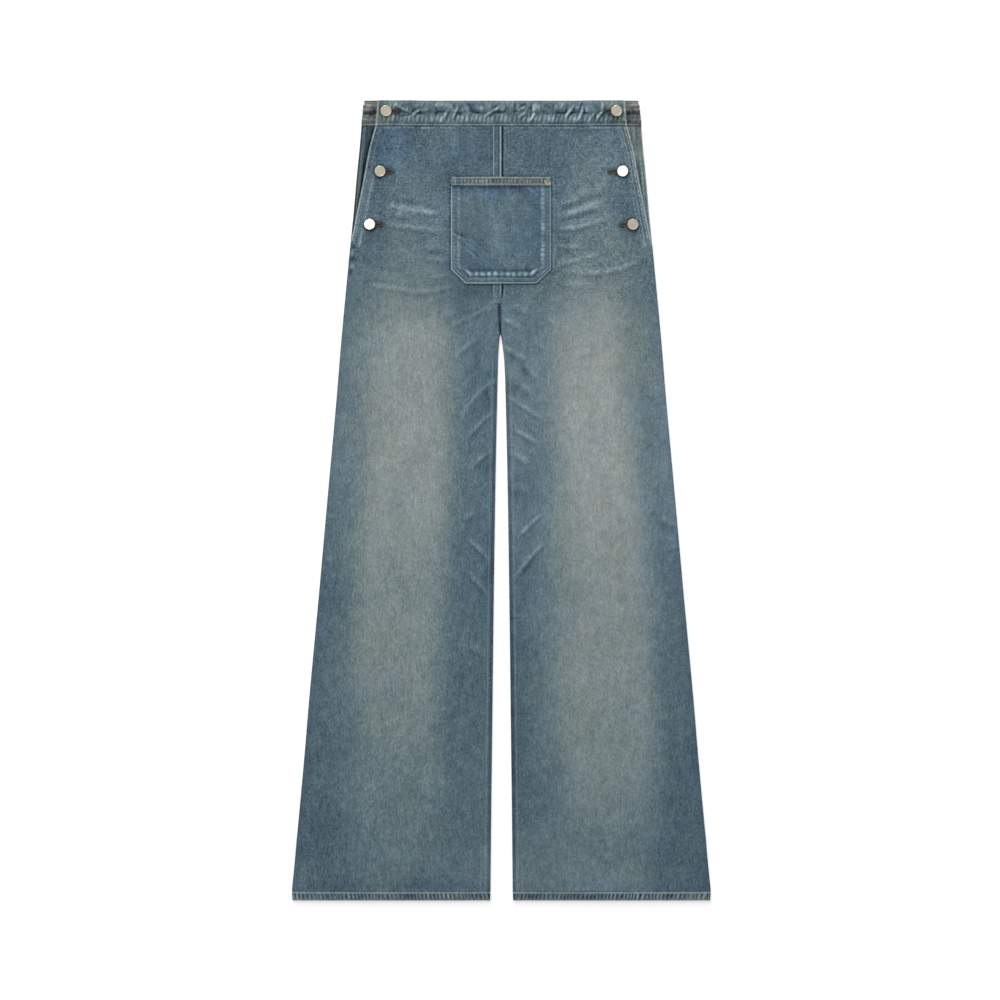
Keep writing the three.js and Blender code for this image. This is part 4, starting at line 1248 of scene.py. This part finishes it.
# %% Four hems
def make_hem(face, word, side):
    node = f"hem_{face}_{word}"
    x, down = plan(node, 150, 9)
    from_top, from_foot = down - down.min(), down.max() - down
    seed = 151 + 2 * (face == "back") + (side == 1)
    lean = 0.2 * (1 if word == "left" else -1)
    wander = 1.6 * uneven(x, down, 16, 90, seed + 4)
    ropes = roping(x + lean * down + wander, 5.4, seed, 0.8)
    band = hill(from_top, 6.5, 3.6)
    from_end = np.minimum(x - x[:, :1], x[:, -1:] - x)
    upward = 0.42 * ropes * band - 0.2 * hill(from_top, 1.9, 0.8)
    keep = ramp(1, 8, from_end) * (0.35 if face == "back" else 1)
    height = wall_heights(node, x, down) + np.maximum(upward, -0.2 if face == "front" else 0) * keep
    worn = 0.7 + 0.8 * uneven(x, down, 60, 60, seed + 6)
    strong = np.clip(1 + 0.5 * uneven(x, down, 22, 90, seed + 5), 0.4, 1.7)
    tone = 97 + 32 * worn * hill(from_top, 1.9, 1.2) + 120 * strong * (ropes - 0.42) * band
    tone = tone - 8 * hill(from_top, 3.6, 0.9) + 18 * hill(from_foot, 1.2, 1.2)
    tone = tone - 8 * (1 - ramp(0, 0.6, from_foot)) - 4 * (1 - ramp(0, 0.6, from_top))
    tone = tone + 5 * uneven(x, down, 30, 30, seed + 7) + 6 * uneven(x, down, 3, 3, seed + 8)
    tone = tone + 22 * hill(from_end, 7, 1.4) - 14 * hill(from_end, 3.4, 1.6)
    brown = 0.22 + 0.12 * uneven(x, down, 30, 30, seed + 9)
    looks = looks_of(tone, 112, 0.1, brown)
    return make_cloth(f"denim_{node}", x, down, height, DOUBLE, looks)


for face in ("front", "back"):
    for word, side in SIDES.items():
        cloths[f"hem_{face}_{word}"] = make_hem(face, word, side)

# %% [markdown]
# ## Stitches
#
# Thread is sewn last, through cloth that is already folded. One stitch is modelled: a six-sided
# cylinder whose ends are drawn in, so it dives into the cloth. An Array modifier could repeat it
# along a curve, but not follow every bump, so its points are copied along each row by number,
# onto the surface that a ray finds there, with small changes of angle. All the rows of one
# colour on a piece become one mesh.

# %% One stitch
STITCH = 2.7  # its length
THREAD = 0.42  # half the thread's thickness
PITCH = 3.3  # from one stitch to the next


def model_stitch():
    bpy.ops.object.select_all(action="DESELECT")
    bpy.ops.mesh.primitive_cylinder_add(vertices=6, radius=THREAD * MM, depth=0.62 * STITCH * MM)
    stitch = bpy.context.object
    bpy.ops.object.mode_set(mode="EDIT")
    bpy.ops.mesh.select_mode(type="FACE")
    bpy.ops.mesh.select_all(action="DESELECT")
    shape = bmesh.from_edit_mesh(stitch.data)
    for face in shape.faces:
        face.select = abs(face.normal.z) > 0.9
    bmesh.update_edit_mesh(stitch.data)
    bpy.ops.mesh.extrude_region_shrink_fatten(
        TRANSFORM_OT_shrink_fatten={"value": 0.19 * STITCH * MM}
    )
    bpy.ops.transform.resize(value=(0.5, 0.5, 1))
    bpy.ops.mesh.select_all(action="SELECT")
    quarter = math.pi / 2
    bpy.ops.transform.rotate(value=quarter, orient_axis="Y", center_override=(0, 0, 0))
    bpy.ops.object.mode_set(mode="OBJECT")
    points = np.array([v.co for v in stitch.data.vertices]) / MM
    faces = [tuple(p.vertices) for p in stitch.data.polygons]
    bpy.data.objects.remove(stitch)
    return points, faces


stitch_points, stitch_faces = model_stitch()
reach = np.ptp(stitch_points, axis=0)
print("a stitch is", reach.round(2), "mm and has", len(stitch_faces), "faces")

# %% Laying stitches on the cloth
surfaces = {}


def surface_of(name):
    if name not in surfaces:
        mesh = cloths[name].data
        polygons = [tuple(p.vertices) for p in mesh.polygons]
        surfaces[name] = BVHTree.FromPolygons([v.co for v in mesh.vertices], polygons)
    return surfaces[name]


def rest_height(x, down, names, under):
    """The height of the cloth's face at a place, on top or, for the back, underneath."""
    start, way = (-0.1, 1) if under else (0.1, -1)
    found = []
    for name in names:
        hit = surface_of(name).ray_cast((x * MM, (TOP - down) * MM, start), (0, 0, way))[0]
        if hit:
            found.append(hit.z / MM)
    return (min(found) if under else max(found)) if found else None


def along_route(route, pitch):
    """Places and directions every pitch along a line of (x, down) points."""
    route = np.array(route, float)
    lengths = np.concatenate([[0], np.cumsum(np.hypot(*np.diff(route, axis=0).T))])
    count = max(1, int(lengths[-1] / pitch))
    at = (np.arange(count) + 0.5) * lengths[-1] / count
    places = np.stack([np.interp(at, lengths, route[:, k]) for k in (0, 1)], 1)
    ahead = np.stack([np.interp(at + 0.5, lengths, route[:, k]) for k in (0, 1)], 1)
    behind = np.stack([np.interp(at - 0.5, lengths, route[:, k]) for k in (0, 1)], 1)
    return places, np.arctan2(*(behind - ahead)[:, ::-1].T) + math.pi


# %% Stitches by the hundred
dice = np.random.default_rng(7)


def lay_stitches(places, angles, names, under=False, long=1.0, thick=1.0, lift=0.12):
    """Points of one stitch for each place, turned along its row and set on the cloth."""
    laid = []
    for (x, down), angle in zip(places, angles):
        z = rest_height(x, down, names, under)
        if z is None:
            continue
        turn = -angle + dice.normal(0, 0.05)
        stretch = long * dice.uniform(0.92, 1.06)
        along, aside, up = (stitch_points * (stretch, thick, thick)).T
        c, s = math.cos(turn), math.sin(turn)
        z = z + (-lift if under else lift)
        place = (x + along * c - aside * s, TOP - down + along * s + aside * c, z + up)
        laid.append(np.stack(place, 1))
    return laid


stitchings = {}


def join_stitches(name, laid):
    """All the stitches of one piece and one colour as a single mesh."""
    size = len(stitch_points)
    faces = [tuple(k * size + v for v in f) for k in range(len(laid)) for f in stitch_faces]
    mesh = bpy.data.meshes.new(name)
    mesh.from_pydata((np.concatenate(laid) * MM).tolist(), [], faces)
    piece = bpy.data.objects.new(name, mesh)
    bpy.context.scene.collection.objects.link(piece)
    select_only(piece)
    bpy.ops.object.shade_smooth()
    stitchings[name] = piece
    print(name, "has", len(laid), "stitches")
    return piece


# %% [markdown]
# ## Where the rows run
#
# Rows follow the edges of their piece at a set distance, so each route is read from the same
# outline as the cloth.


# %% Routes beside edges
def edge_route(node, side, inset, start, end, step=8):
    """A line beside the side edge of a construction piece, that far in from it."""
    downs = np.arange(start, end, step)
    left, right = outline(node, downs, 0)
    x = right - inset if side == 1 else left + inset
    return np.stack([x, downs], 1)


def pocket_route(inset):
    """Round a pocket's sides, cut corners and bottom, that far in."""
    start = POCKET_TOP + 14
    low = POCKET_END - inset
    tight = inset * 0.45  # how far each corner of the route moves along, to keep the inset
    half = [
        (POCKET_LEFT + inset, start),
        (POCKET_LEFT + inset, POCKET_END - CUT_UP - tight),
        (POCKET_LEFT + CUT_IN + tight, low),
    ]
    other = [(POCKET_RIGHT - (x - POCKET_LEFT), down) for x, down in reversed(half)]
    return half + other


def row(route, names, **options):
    places, angles = along_route(route, PITCH)
    return lay_stitches(places, angles, names, **options)


def bartack(x, down, length, angle, names, across=2.4):
    """A short dense bar: threads side by side, each across the bar."""
    count = int(length / 0.62)
    steps = (np.arange(count) / max(1, count - 1) - 0.5) * length
    places = np.stack([x + steps * math.cos(angle), down + steps * math.sin(angle)], 1)
    turn = np.full(count, angle + math.pi / 2) + dice.normal(0, 0.08, count)
    return lay_stitches(places, turn, names, long=across / STITCH, thick=0.8, lift=0.3)


# %% Rows on the front
for word, side in SIDES.items():
    front, hem, stand = f"front_{word}", f"hem_front_{word}", f"underlap_{word}"
    laid = row(edge_route(front, side, 2.2, BAND_END + 1, OPENING_END - 4), [front])
    join_stitches(f"stitches_{front}", laid)
    laid = row(edge_route(front, side, 8.8, BAND_END + 1, OPENING_END - 6), [front])
    laid += row(edge_route(front, -side, 7.4, CROTCH + 30, HEM_TOP - 1), [front])
    join_stitches(f"stitches_inner_{front}", laid)
    edges = outline(hem, np.array([HEM_TOP + 2]), 0)
    join_stitches(f"stitches_{hem}", row([(e[0], HEM_TOP + 1.9) for e in edges], [hem]))
    laid = row(edge_route(stand, side, 3.4, BAND_END + 2, OPENING_END - 3), [stand])
    join_stitches(f"stitches_inner_{stand}", laid)

laid = row([(-172, 33.6), (172, 33.6)], ["waistband_front"])
laid += row([(-170, 2.6), (170, 2.6)], ["waistband_front"])
for side in SIDES.values():
    laid += row(edge_route("waistband_front", side, 2.4, 3, 33, 3), ["waistband_front"])
join_stitches("stitches_waistband_front", laid)

under_pocket = (POCKET_TOP - 2, POCKET_END + 2)
laid = []
for x in (-10.8, -1.1):
    laid += row([(x, BAND_END + 1), (x, under_pocket[0])], ["centre_front_lap"])
    laid += row([(x, under_pocket[1]), (x, SEWN_END)], ["centre_front_lap"])
join_stitches("stitches_centre_front", laid)

join_stitches("stitches_patch_pocket", row(pocket_route(1.8), ["patch_pocket"]))
join_stitches("stitches_inner_patch_pocket", row(pocket_route(7.6), ["patch_pocket"]))
laid = []
for down in (POCKET_TOP + 10.6, POCKET_TOP + 1.8):
    laid += row([(POCKET_LEFT + 2, down), (POCKET_RIGHT - 2, down)], ["pocket_hem"])
join_stitches("stitches_pocket_hem", laid)

# %% [markdown]
# Bar tacks take the strain at the foot of each opening and at the corners of the pocket's
# mouth. They are the same stitch, packed side by side.

# %% Bar tacks
laid = []
for word, side in SIDES.items():
    foot = edge_route(f"front_{word}", side, 4.5, OPENING_END - 8, OPENING_END - 7)[0]
    laid += bartack(foot[0], foot[1], 8, math.pi / 2, [f"front_{word}"], across=4)
for x in (POCKET_LEFT + 5, POCKET_RIGHT - 5):
    laid += bartack(x, POCKET_TOP + 5.5, 6, math.pi / 2, ["pocket_hem"], across=2.6)
join_stitches("bar_tacks", laid)


# %% Buttonhole threads
def slot_threads(slot, names):
    """Threads set across the rim of a buttonhole, close together all the way round."""
    radius = slot.half_width + 0.75
    half = slot.half_length - slot.half_width
    straight = np.arange(-half, half, 0.7)
    places = []
    for way in (-1, 1):
        places += [(slot.x + s, slot.down + way * radius, way * math.pi / 2) for s in straight]
    for end in (-1, 1):
        for angle in np.linspace(-1.4, 1.4, 8):
            turn = angle if end == 1 else math.pi - angle
            x = slot.x + end * half + radius * math.cos(turn)
            places.append((x, slot.down + radius * math.sin(turn), turn))
    spots = np.array(places)
    return lay_stitches(spots[:, :2], spots[:, 2], names, long=0.72, thick=0.75, lift=0.02)


laid = []
for slot in SLOTS.values():
    front = "front_left" if slot.x > 0 else "front_right"
    laid += slot_threads(slot, ["waistband_front" if slot.down < BAND_END else front])
join_stitches("buttonhole_threads", laid)

# %% [markdown]
# On the back the rows are as plain as they must be: a double row down the centre, one beside
# each inseam, one round each hem and the two that hold the waistband.

# %% Rows on the back
for word, side in SIDES.items():
    back, hem = f"back_{word}", f"hem_back_{word}"
    laid = row(edge_route(back, -side, 2.2, BAND_END + 1, CROTCH - 6), [back], under=True)
    if side == 1:
        laid += row(edge_route(back, -side, 8.6, BAND_END + 1, CROTCH - 6), [back], under=True)
    laid += row(edge_route(back, -side, 7.4, CROTCH + 6, HEM_TOP - 1), [back], under=True)
    join_stitches(f"stitches_{back}", laid)
    edges = outline(hem, np.array([HEM_TOP + 2]), 0)
    join_stitches(f"stitches_{hem}", row([(e[0], HEM_TOP + 1.9) for e in edges], [hem], under=True))
laid = []
for down in (2.8, 33.4):
    laid += row([(-188, down), (188, down)], ["waistband_back"], under=True)
    for side in SIDES.values():
        laid += row([(side * 176, down), (side * 190, down)], ["waistband_back"])
join_stitches("stitches_waistband_back", laid)

# %% [markdown]
# ## The buttons
#
# A tack button is a stamped cap on a hollow shank, pinned through the cloth by a nail with a
# flat head. An outline could be spun round, but a cylinder is round already and only its ends
# need shaping. So one button is modelled from two cylinders: insets and small moves shape the
# cap's rim and its sunken face, and bevels soften every edge, because real metal always catches
# light there. Copies go to the six places. Their nail's head is moved to suit the layers
# between, and each is tipped a little, as the pull of the cloth does.

# %% One button
CAP_RADIUS = 7.6
CAP_HEIGHT = 2.3
NECK_RADIUS = 1.1
NAIL_RADIUS = 4.5
NAIL_HEIGHT = 0.6
MODEL_LENGTH = 4.0  # of the model's shank, which each copy changes to its own


def select_facing(piece, way):
    """In edit mode, selects only the faces that look up, for 1, or down, for -1."""
    shape = bmesh.from_edit_mesh(piece.data)
    for face in shape.faces:
        face.select = way * face.normal.z > 0.9
    bmesh.update_edit_mesh(piece.data)


def model_cap():
    bpy.ops.object.select_all(action="DESELECT")
    bpy.ops.mesh.primitive_cylinder_add(vertices=64, radius=CAP_RADIUS * MM, depth=CAP_HEIGHT * MM)
    cap = bpy.context.object
    bpy.ops.object.mode_set(mode="EDIT")
    bpy.ops.mesh.select_mode(type="FACE")
    select_facing(cap, 1)
    # The rim and a shallow step down to the flat face.
    for inset, rise in ((0.3, 0.06), (0.7, 0.0), (0.3, -0.1)):
        bpy.ops.mesh.inset(thickness=inset * MM, depth=0)
        bpy.ops.transform.translate(value=(0, 0, rise * MM))
    bpy.ops.mesh.select_all(action="DESELECT")
    bpy.ops.object.mode_set(mode="OBJECT")
    return cap


def model_shank():
    """The shank under the cap and the nail's flat head below the cloth."""
    bpy.ops.object.select_all(action="DESELECT")
    middle = -(MODEL_LENGTH + CAP_HEIGHT) / 2
    bpy.ops.mesh.primitive_cylinder_add(
        vertices=24, radius=NECK_RADIUS * MM, depth=MODEL_LENGTH * MM, location=(0, 0, middle * MM)
    )
    shank = bpy.context.object
    bpy.ops.object.mode_set(mode="EDIT")
    bpy.ops.mesh.select_mode(type="FACE")
    select_facing(shank, -1)
    bpy.ops.mesh.extrude_region_move()
    wider = NAIL_RADIUS / NECK_RADIUS
    bpy.ops.transform.resize(value=(wider, wider, 1))
    bpy.ops.mesh.extrude_region_move(TRANSFORM_OT_translate={"value": (0, 0, -NAIL_HEIGHT * MM)})
    bpy.ops.transform.resize(value=(0.9, 0.9, 1))
    bpy.ops.object.mode_set(mode="OBJECT")
    return shank


def round_edges(piece, width):
    select_only(piece)
    bevel = piece.modifiers.new("edges", "BEVEL")
    bevel.width, bevel.segments, bevel.limit_method = width * MM, 2, "ANGLE"
    bevel.angle_limit = math.radians(25)
    bpy.ops.object.modifier_apply(modifier=bevel.name)
    bpy.ops.object.shade_smooth_by_angle(angle=math.radians(18))


def model_button():
    cap = model_cap()
    round_edges(cap, 0.16)
    shank = model_shank()
    round_edges(shank, 0.15)
    select_only(cap)
    shank.select_set(True)
    bpy.ops.object.join()
    return cap


def copy_button(model, name, length):
    """A copy with its own mesh, whose nail's head is moved until the shank has that length."""
    button = model.copy()
    button.data = model.data.copy()
    button.name = button.data.name = name
    bpy.context.scene.collection.objects.link(button)
    shank_middle = -(MODEL_LENGTH + CAP_HEIGHT) / 2 * MM
    for vertex in button.data.vertices:
        if vertex.co.z < shank_middle:
            vertex.co.z -= (length - MODEL_LENGTH) * MM
    return button


# %% Six buttons
SOFTBOX_PLACE = Vector((-0.62, 1.35, 3.3))
CAMERA_PLACE = Vector((-0.0018, 0.0008, 3.3106))
FACING_LIGHT = ("button_left_2", "button_right_3")  # these two mirror the small lamp
SUNK = 0.35  # how far the cap lies below the top of its construction button
model = model_button()
buttons = {}
for number, name in enumerate(BUTTON_NODES):
    low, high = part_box(name)
    place = (low + high) / 2
    place.z = high.z - (CAP_HEIGHT / 2 + SUNK) * MM
    span = (place.z - low.z) / MM - CAP_HEIGHT / 2 - NAIL_HEIGHT
    button = copy_button(model, f"metal_{name}", span)
    if name in FACING_LIGHT:
        up = (CAMERA_PLACE - place).normalized() + (SOFTBOX_PLACE - place).normalized()
    else:
        away = 0.05 if place.x > 0 else 0.09
        up = Vector((away + 0.015 * math.cos(2.4 * number), -1.2 * away, 1))
    turn = Vector((0, 0, 1)).rotation_difference(up).to_matrix().to_4x4()
    button.data.transform(Matrix.Translation(place) @ turn)
    buttons[name] = button
bpy.data.objects.remove(model)
print("made", len(buttons), "buttons of", len(button.data.polygons), "faces")

# %% [markdown]
# ## Denim
#
# Washed denim is a twill of dark warp and pale weft. From a distance its twill lines melt into
# a short vertical grain: slubs in the warp, each a couple of millimetres wide and longer than
# that. The material reads the sheet's wear and its painted shade, adds the grain and a slow
# mottle to it, and looks the result up in a ramp from deep indigo to bare cotton. The ramp
# matters more than any texture: faded denim isn't only lighter but greyer, which mixing one blue
# with white would miss. The twill itself is a fine diagonal bump.

# %% Node helpers
INDIGO = [
    (0.00, (36, 57, 70)),
    (0.25, (68, 90, 102)),
    (0.375, (84, 105, 114)),
    (0.46, (95, 115, 122)),
    (0.54, (108, 125, 128)),
    (0.725, (135, 145, 145)),
    (1.00, (172, 178, 173)),
]
EXPOSED = 0.8  # how much darker cloth is painted, to allow for the studio's bright light


def linear(colour, share=1.0):
    """A screen colour from 0 to 255 as the linear light that Blender mixes."""
    values = [c / 255 for c in colour]
    light = [v / 12.92 if v <= 0.04045 else ((v + 0.055) / 1.055) ** 2.4 for v in values]
    return (*[v * share for v in light], 1)


def add_node(tree, kind, values=None, **settings):
    node = tree.nodes.new(kind)
    for name, value in settings.items():
        setattr(node, name, value)
    for name, value in (values or {}).items():
        if isinstance(value, bpy.types.NodeSocket):
            tree.links.new(value, node.inputs[name])
        else:
            node.inputs[name].default_value = value
    return node


def calculate(tree, operation, a, b, c=None):
    values = {0: a, 1: b} if c is None else {0: a, 1: b, 2: c}
    return add_node(tree, "ShaderNodeMath", values, operation=operation).outputs[0]


def mix_colours(tree, share, a, b, how="MIX"):
    """The first colour, with that share of the second one mixed or multiplied in."""
    settings = {"data_type": "RGBA", "blend_type": how}
    return add_node(tree, "ShaderNodeMix", {0: share, 6: a, 7: b}, **settings).outputs[2]


def between(tree, value, low, high):
    """How far a value lies between two others, from 0 to 1."""
    return add_node(tree, "ShaderNodeMapRange", {"Value": value, 1: low, 2: high}).outputs[0]


def pattern(tree, place, scale, detail=2.0, turn=0.0, rough=0.5):
    """Noise stretched to that many lumps a metre along x and y."""
    mapping = add_node(tree, "ShaderNodeMapping", {"Vector": place, "Scale": (*scale, scale[1])})
    mapping.inputs["Rotation"].default_value = (0, 0, turn)
    values = {"Vector": mapping.outputs[0], "Scale": 1.0, "Detail": detail, "Roughness": rough}
    return add_node(tree, "ShaderNodeTexNoise", values).outputs["Fac"]


def shader_of(name, **settings):
    material = bpy.data.materials.new(name)
    material.use_nodes = True
    shader = material.node_tree.nodes["Principled BSDF"]
    for socket, value in settings.items():
        shader.inputs[socket.replace("_", " ")].default_value = value
    return material, material.node_tree, shader


# %% The denim material
HUE_SHARE = 0.5  # how much a small light or dark spot also shifts the hue
TINTS = {
    "blue": (0.86, 0.97, 1.2, 1),
    "brown": (1.28, 0.87, 0.74, 1),
    "olive": (1.06, 1.04, 0.66, 1),
}


def brightness(tree, share):
    value = calculate(tree, "MULTIPLY_ADD", share, BRIGHTEST - DARKEST, DARKEST)
    return calculate(tree, "MAXIMUM", value, 6.0)


def speckle(tree, place, turn, contrast, dotted):
    """The grain of washed denim as small changes of brightness, from slub to slow cloud. Where
    the cloth is dotted, its fine streaks give way to round dots."""

    def streaks_or_dots(streaks, dots, *more):
        looks = [pattern(tree, place, size, *more) for size in (streaks, dots)]
        return add_node(tree, "ShaderNodeMix", {0: dotted, 2: looks[0], 3: looks[1]}).outputs[0]

    sizes = (
        (streaks_or_dots((620, 300), (420, 400), 2.0, turn, 0.6), contrast),
        (streaks_or_dots((480, 70), (230, 200), 1.0, turn), 0.35),
        (pattern(tree, place, (110, 80), 2.0, turn), 0.3),
        (pattern(tree, place, (22, 16), 1.0, turn), 0.16),
    )
    total = 0.0
    for noise, amount in sizes:
        total = calculate(tree, "MULTIPLY_ADD", noise, amount, total)
    middle = 0.5 * sum(amount for _, amount in sizes)
    return calculate(tree, "SUBTRACT", total, middle), sizes[0][0]


def denim(name, turn=0.0, contrast=1.0):
    """Washed denim whose grain runs along y, or turned that far from it."""
    material, tree, shader = shader_of(
        name, Roughness=0.9, Specular_IOR_Level=0.2, Sheen_Weight=0.08, Sheen_Roughness=0.5
    )
    place = add_node(tree, "ShaderNodeTexCoord").outputs["Object"]
    attribute = lambda look: add_node(tree, "ShaderNodeAttribute", attribute_name=look).outputs["Fac"]
    # The sheet's brightness, its wear with its painted shade, and that of the area round it.
    wear_and_shade, zone = attribute("wear_and_shade"), attribute("zone")
    dotted = between(tree, attribute("grain"), 1.05, 1.35)
    spots, grain = speckle(tree, place, turn, contrast, dotted)
    # Bare cotton has less contrast left in its grain than deep indigo has.
    depth = calculate(tree, "MULTIPLY_ADD", zone, -0.35, 0.9)
    depth = calculate(tree, "MULTIPLY", depth, attribute("grain"))
    level = calculate(tree, "MULTIPLY_ADD", spots, depth, wear_and_shade)
    past_zone = calculate(tree, "SUBTRACT", level, zone)
    hue_level = calculate(tree, "MULTIPLY_ADD", past_zone, HUE_SHARE, zone)
    ramp_node = add_node(tree, "ShaderNodeValToRGB", {"Fac": hue_level})
    stops = ramp_node.color_ramp.elements
    while len(stops) < len(INDIGO):
        stops.new(0.5)
    for stop, (at, colour) in zip(stops, INDIGO):
        stop.position, stop.color = at, linear(colour, EXPOSED)
    ratio = calculate(tree, "DIVIDE", brightness(tree, level), brightness(tree, hue_level))
    shade = calculate(tree, "POWER", ratio, 2.2)
    colour = mix_colours(tree, 1.0, ramp_node.outputs["Color"], shade, "MULTIPLY")
    # Fresher dye is bluer, and dirt and rust are browner, at about the same brightness.
    for look, tint in TINTS.items():
        colour = mix_colours(tree, attribute(look), colour, tint, "MULTIPLY")
    tree.links.new(colour, shader.inputs["Base Color"])
    twill_place = add_node(tree, "ShaderNodeMapping", {"Vector": place})
    twill_place.inputs["Rotation"].default_value = (0, 0, turn + math.radians(58))
    twill = add_node(
        tree, "ShaderNodeTexWave", {"Vector": twill_place.outputs[0], "Scale": 262.0, "Distortion": 1.2}
    ).outputs["Fac"]
    relief = calculate(tree, "MULTIPLY_ADD", twill, 0.5, grain)
    bump = add_node(tree, "ShaderNodeBump", {"Strength": 0.5, "Distance": 0.0004, "Height": relief})
    tree.links.new(bump.outputs[0], shader.inputs["Normal"])
    return material


# %% Five cuts of denim
quarter_turn = math.pi / 2
materials = {
    "denim": denim("washed denim"),
    "denim_back": denim("washed denim of the backs"),
    "denim_band": denim("washed denim cut lengthwise", quarter_turn, 1.2),
    "denim_hem": denim("washed denim turned up", 0.0, 1.1),
    "denim_pocket": denim("washed denim of the pocket", 0.0, 1.25),
}
print("denims:", ", ".join(material.name for material in materials.values()))

# %% [markdown]
# ## Thread and metal
#
# Sewing thread is matt and fuzzy, so a fine noise both mottles its colour and roughens it. The
# buttons are plated, and the plating has dulled unevenly. A mirror-like metal would only show
# the pale studio, so patches of duller, rougher metal and faint scratches are mixed in.


# %% Thread
def thread(name, colour):
    material, tree, shader = shader_of(name, Roughness=0.85, Sheen_Weight=0.1, Sheen_Roughness=0.5)
    place = add_node(tree, "ShaderNodeTexCoord").outputs["Object"]
    fuzz = pattern(tree, place, (900, 900), 2.0)
    mixed = mix_colours(tree, fuzz, linear(colour, 0.6), linear(colour, 1.15))
    tree.links.new(mixed, shader.inputs["Base Color"])
    bump = add_node(tree, "ShaderNodeBump", {"Strength": 0.4, "Distance": 0.0001, "Height": fuzz})
    tree.links.new(bump.outputs[0], shader.inputs["Normal"])
    return material


pale_thread = thread("pale blue-grey thread", (148, 164, 168))
tan_thread = thread("tan thread", (156, 148, 142))
faded_thread = thread("faded thread", (116, 130, 136))
rust_thread = thread("rust brown thread", (66, 58, 52))


# %% Button metal
def plated(name, colour, rough):
    material, tree, shader = shader_of(name, Metallic=1.0)
    place = add_node(tree, "ShaderNodeTexCoord").outputs["Object"]
    tarnish = pattern(tree, place, (420, 420), 3.0)
    share = between(tree, tarnish, 0.45, 0.75)
    dull = tuple(c * f for c, f in zip(colour, (0.8, 0.72, 0.6)))
    mixed = mix_colours(tree, share, (*colour, 1), (*dull, 1))
    tree.links.new(mixed, shader.inputs["Base Color"])
    gloss = calculate(tree, "MULTIPLY_ADD", share, 0.08, rough)
    tree.links.new(gloss, shader.inputs["Roughness"])
    scratches = pattern(tree, place, (2400, 500), 2.0)
    bump = add_node(tree, "ShaderNodeBump", {"Strength": 0.03, "Distance": 0.0001, "Height": scratches})
    tree.links.new(bump.outputs[0], shader.inputs["Normal"])
    return material


metal = plated("pale plated metal", (0.64, 0.58, 0.48), 0.36)

# %% [markdown]
# ## The pieces on their body
#
# Every piece rides on the garment's one body, stands for its construction piece and takes a
# slot.

# %% What each cloth is made of
CLOTH_MATERIAL = {
    "front": "denim",
    "centre": "denim",
    "back": "denim_back",
    "underlap": "denim_back",
    "waistband": "denim_band",
    "hem": "denim_hem",
    "patch": "denim_pocket",
    "pocket": "denim_pocket",
}

# %% Cloths
for node, cloth in cloths.items():
    slot = CLOTH_MATERIAL[node.split("_")[0]]
    cloth.data.materials.clear()
    cloth.data.materials.append(materials[slot])
    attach(cloth, "root")
    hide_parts(node)


# %% Threads and buttons
def thread_of(name):
    """Tan at the pocket's mouth, rust in the buttonholes and faded in the inner rows."""
    if name == "stitches_pocket_hem":
        return tan_thread
    if name == "buttonhole_threads":
        return rust_thread
    if "inner" in name or name == "bar_tacks":
        return faded_thread
    return pale_thread


for name, piece in stitchings.items():
    piece.data.materials.append(thread_of(name))
    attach(piece, "root")

for name, button in buttons.items():
    button.data.materials.clear()
    button.data.materials.append(metal)
    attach(button, "root")
    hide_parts(name)

# %% [markdown]
# ## Floor, light and camera
#
# The jeans lie on a pale floor and are looked at from straight above. The floor glows a little,
# as a lit table does, so shadows on it stay faint. A bright sky from all round gives the even
# light of a catalogue. On its own it would flatten the cloth, so a large lamp from the upper
# left draws the creases out, and a low one far beyond the waist lays the short shadow below the
# hems. A small one nearly overhead gives the metal something to reflect.


# %% The studio
FLOOR_LEVEL = -0.4  # a little below the cloth, whose stitches underneath press into it


def make_floor():
    bpy.ops.object.select_all(action="DESELECT")
    bpy.ops.mesh.primitive_plane_add(size=8, location=(0, 0, FLOOR_LEVEL * MM))
    floor = bpy.context.object
    floor.name = "floor"
    material, _, _ = shader_of(
        "pale floor",
        Base_Color=(0.5, 0.5, 0.5, 1),
        Roughness=0.9,
        Emission_Color=(1, 1, 1, 1),
        Emission_Strength=0.5,
    )
    floor.data.materials.append(material)


def make_lamp(name, place, size, power):
    """A square lamp that looks at the middle of the garment."""
    light = bpy.data.lights.new(name, "AREA")
    light.energy, light.size = power, size
    lamp = bpy.data.objects.new(name, light)
    lamp.location = place
    lamp.rotation_euler = (-Vector(place)).to_track_quat("-Z", "Y").to_euler()
    bpy.context.scene.collection.objects.link(lamp)


def make_sky(strength):
    world = bpy.data.worlds.new("studio")
    world.use_nodes = True
    world.node_tree.nodes["Background"].inputs["Color"].default_value = (1, 1, 1, 1)
    world.node_tree.nodes["Background"].inputs["Strength"].default_value = strength
    bpy.context.scene.world = world


def make_camera():
    camera = bpy.data.objects.new("camera", bpy.data.cameras.new("camera"))
    camera.data.lens, camera.data.sensor_width = 85, 36
    camera.location = CAMERA_PLACE
    bpy.context.scene.collection.objects.link(camera)
    bpy.context.scene.camera = camera


make_floor()
make_lamp("key", place=(-3.9, 6.9, 7.5), size=6.0, power=600)
make_lamp("rake", place=(-1.0, 11.0, 3.7), size=4.2, power=1110)
make_lamp("overhead", place=SOFTBOX_PLACE, size=0.5, power=15)
make_sky(0.55)
make_camera()
bpy.context.scene.view_settings.view_transform = "Standard"
print("camera at", [round(v, 2) for v in CAMERA_PLACE], "m, with three lamps")
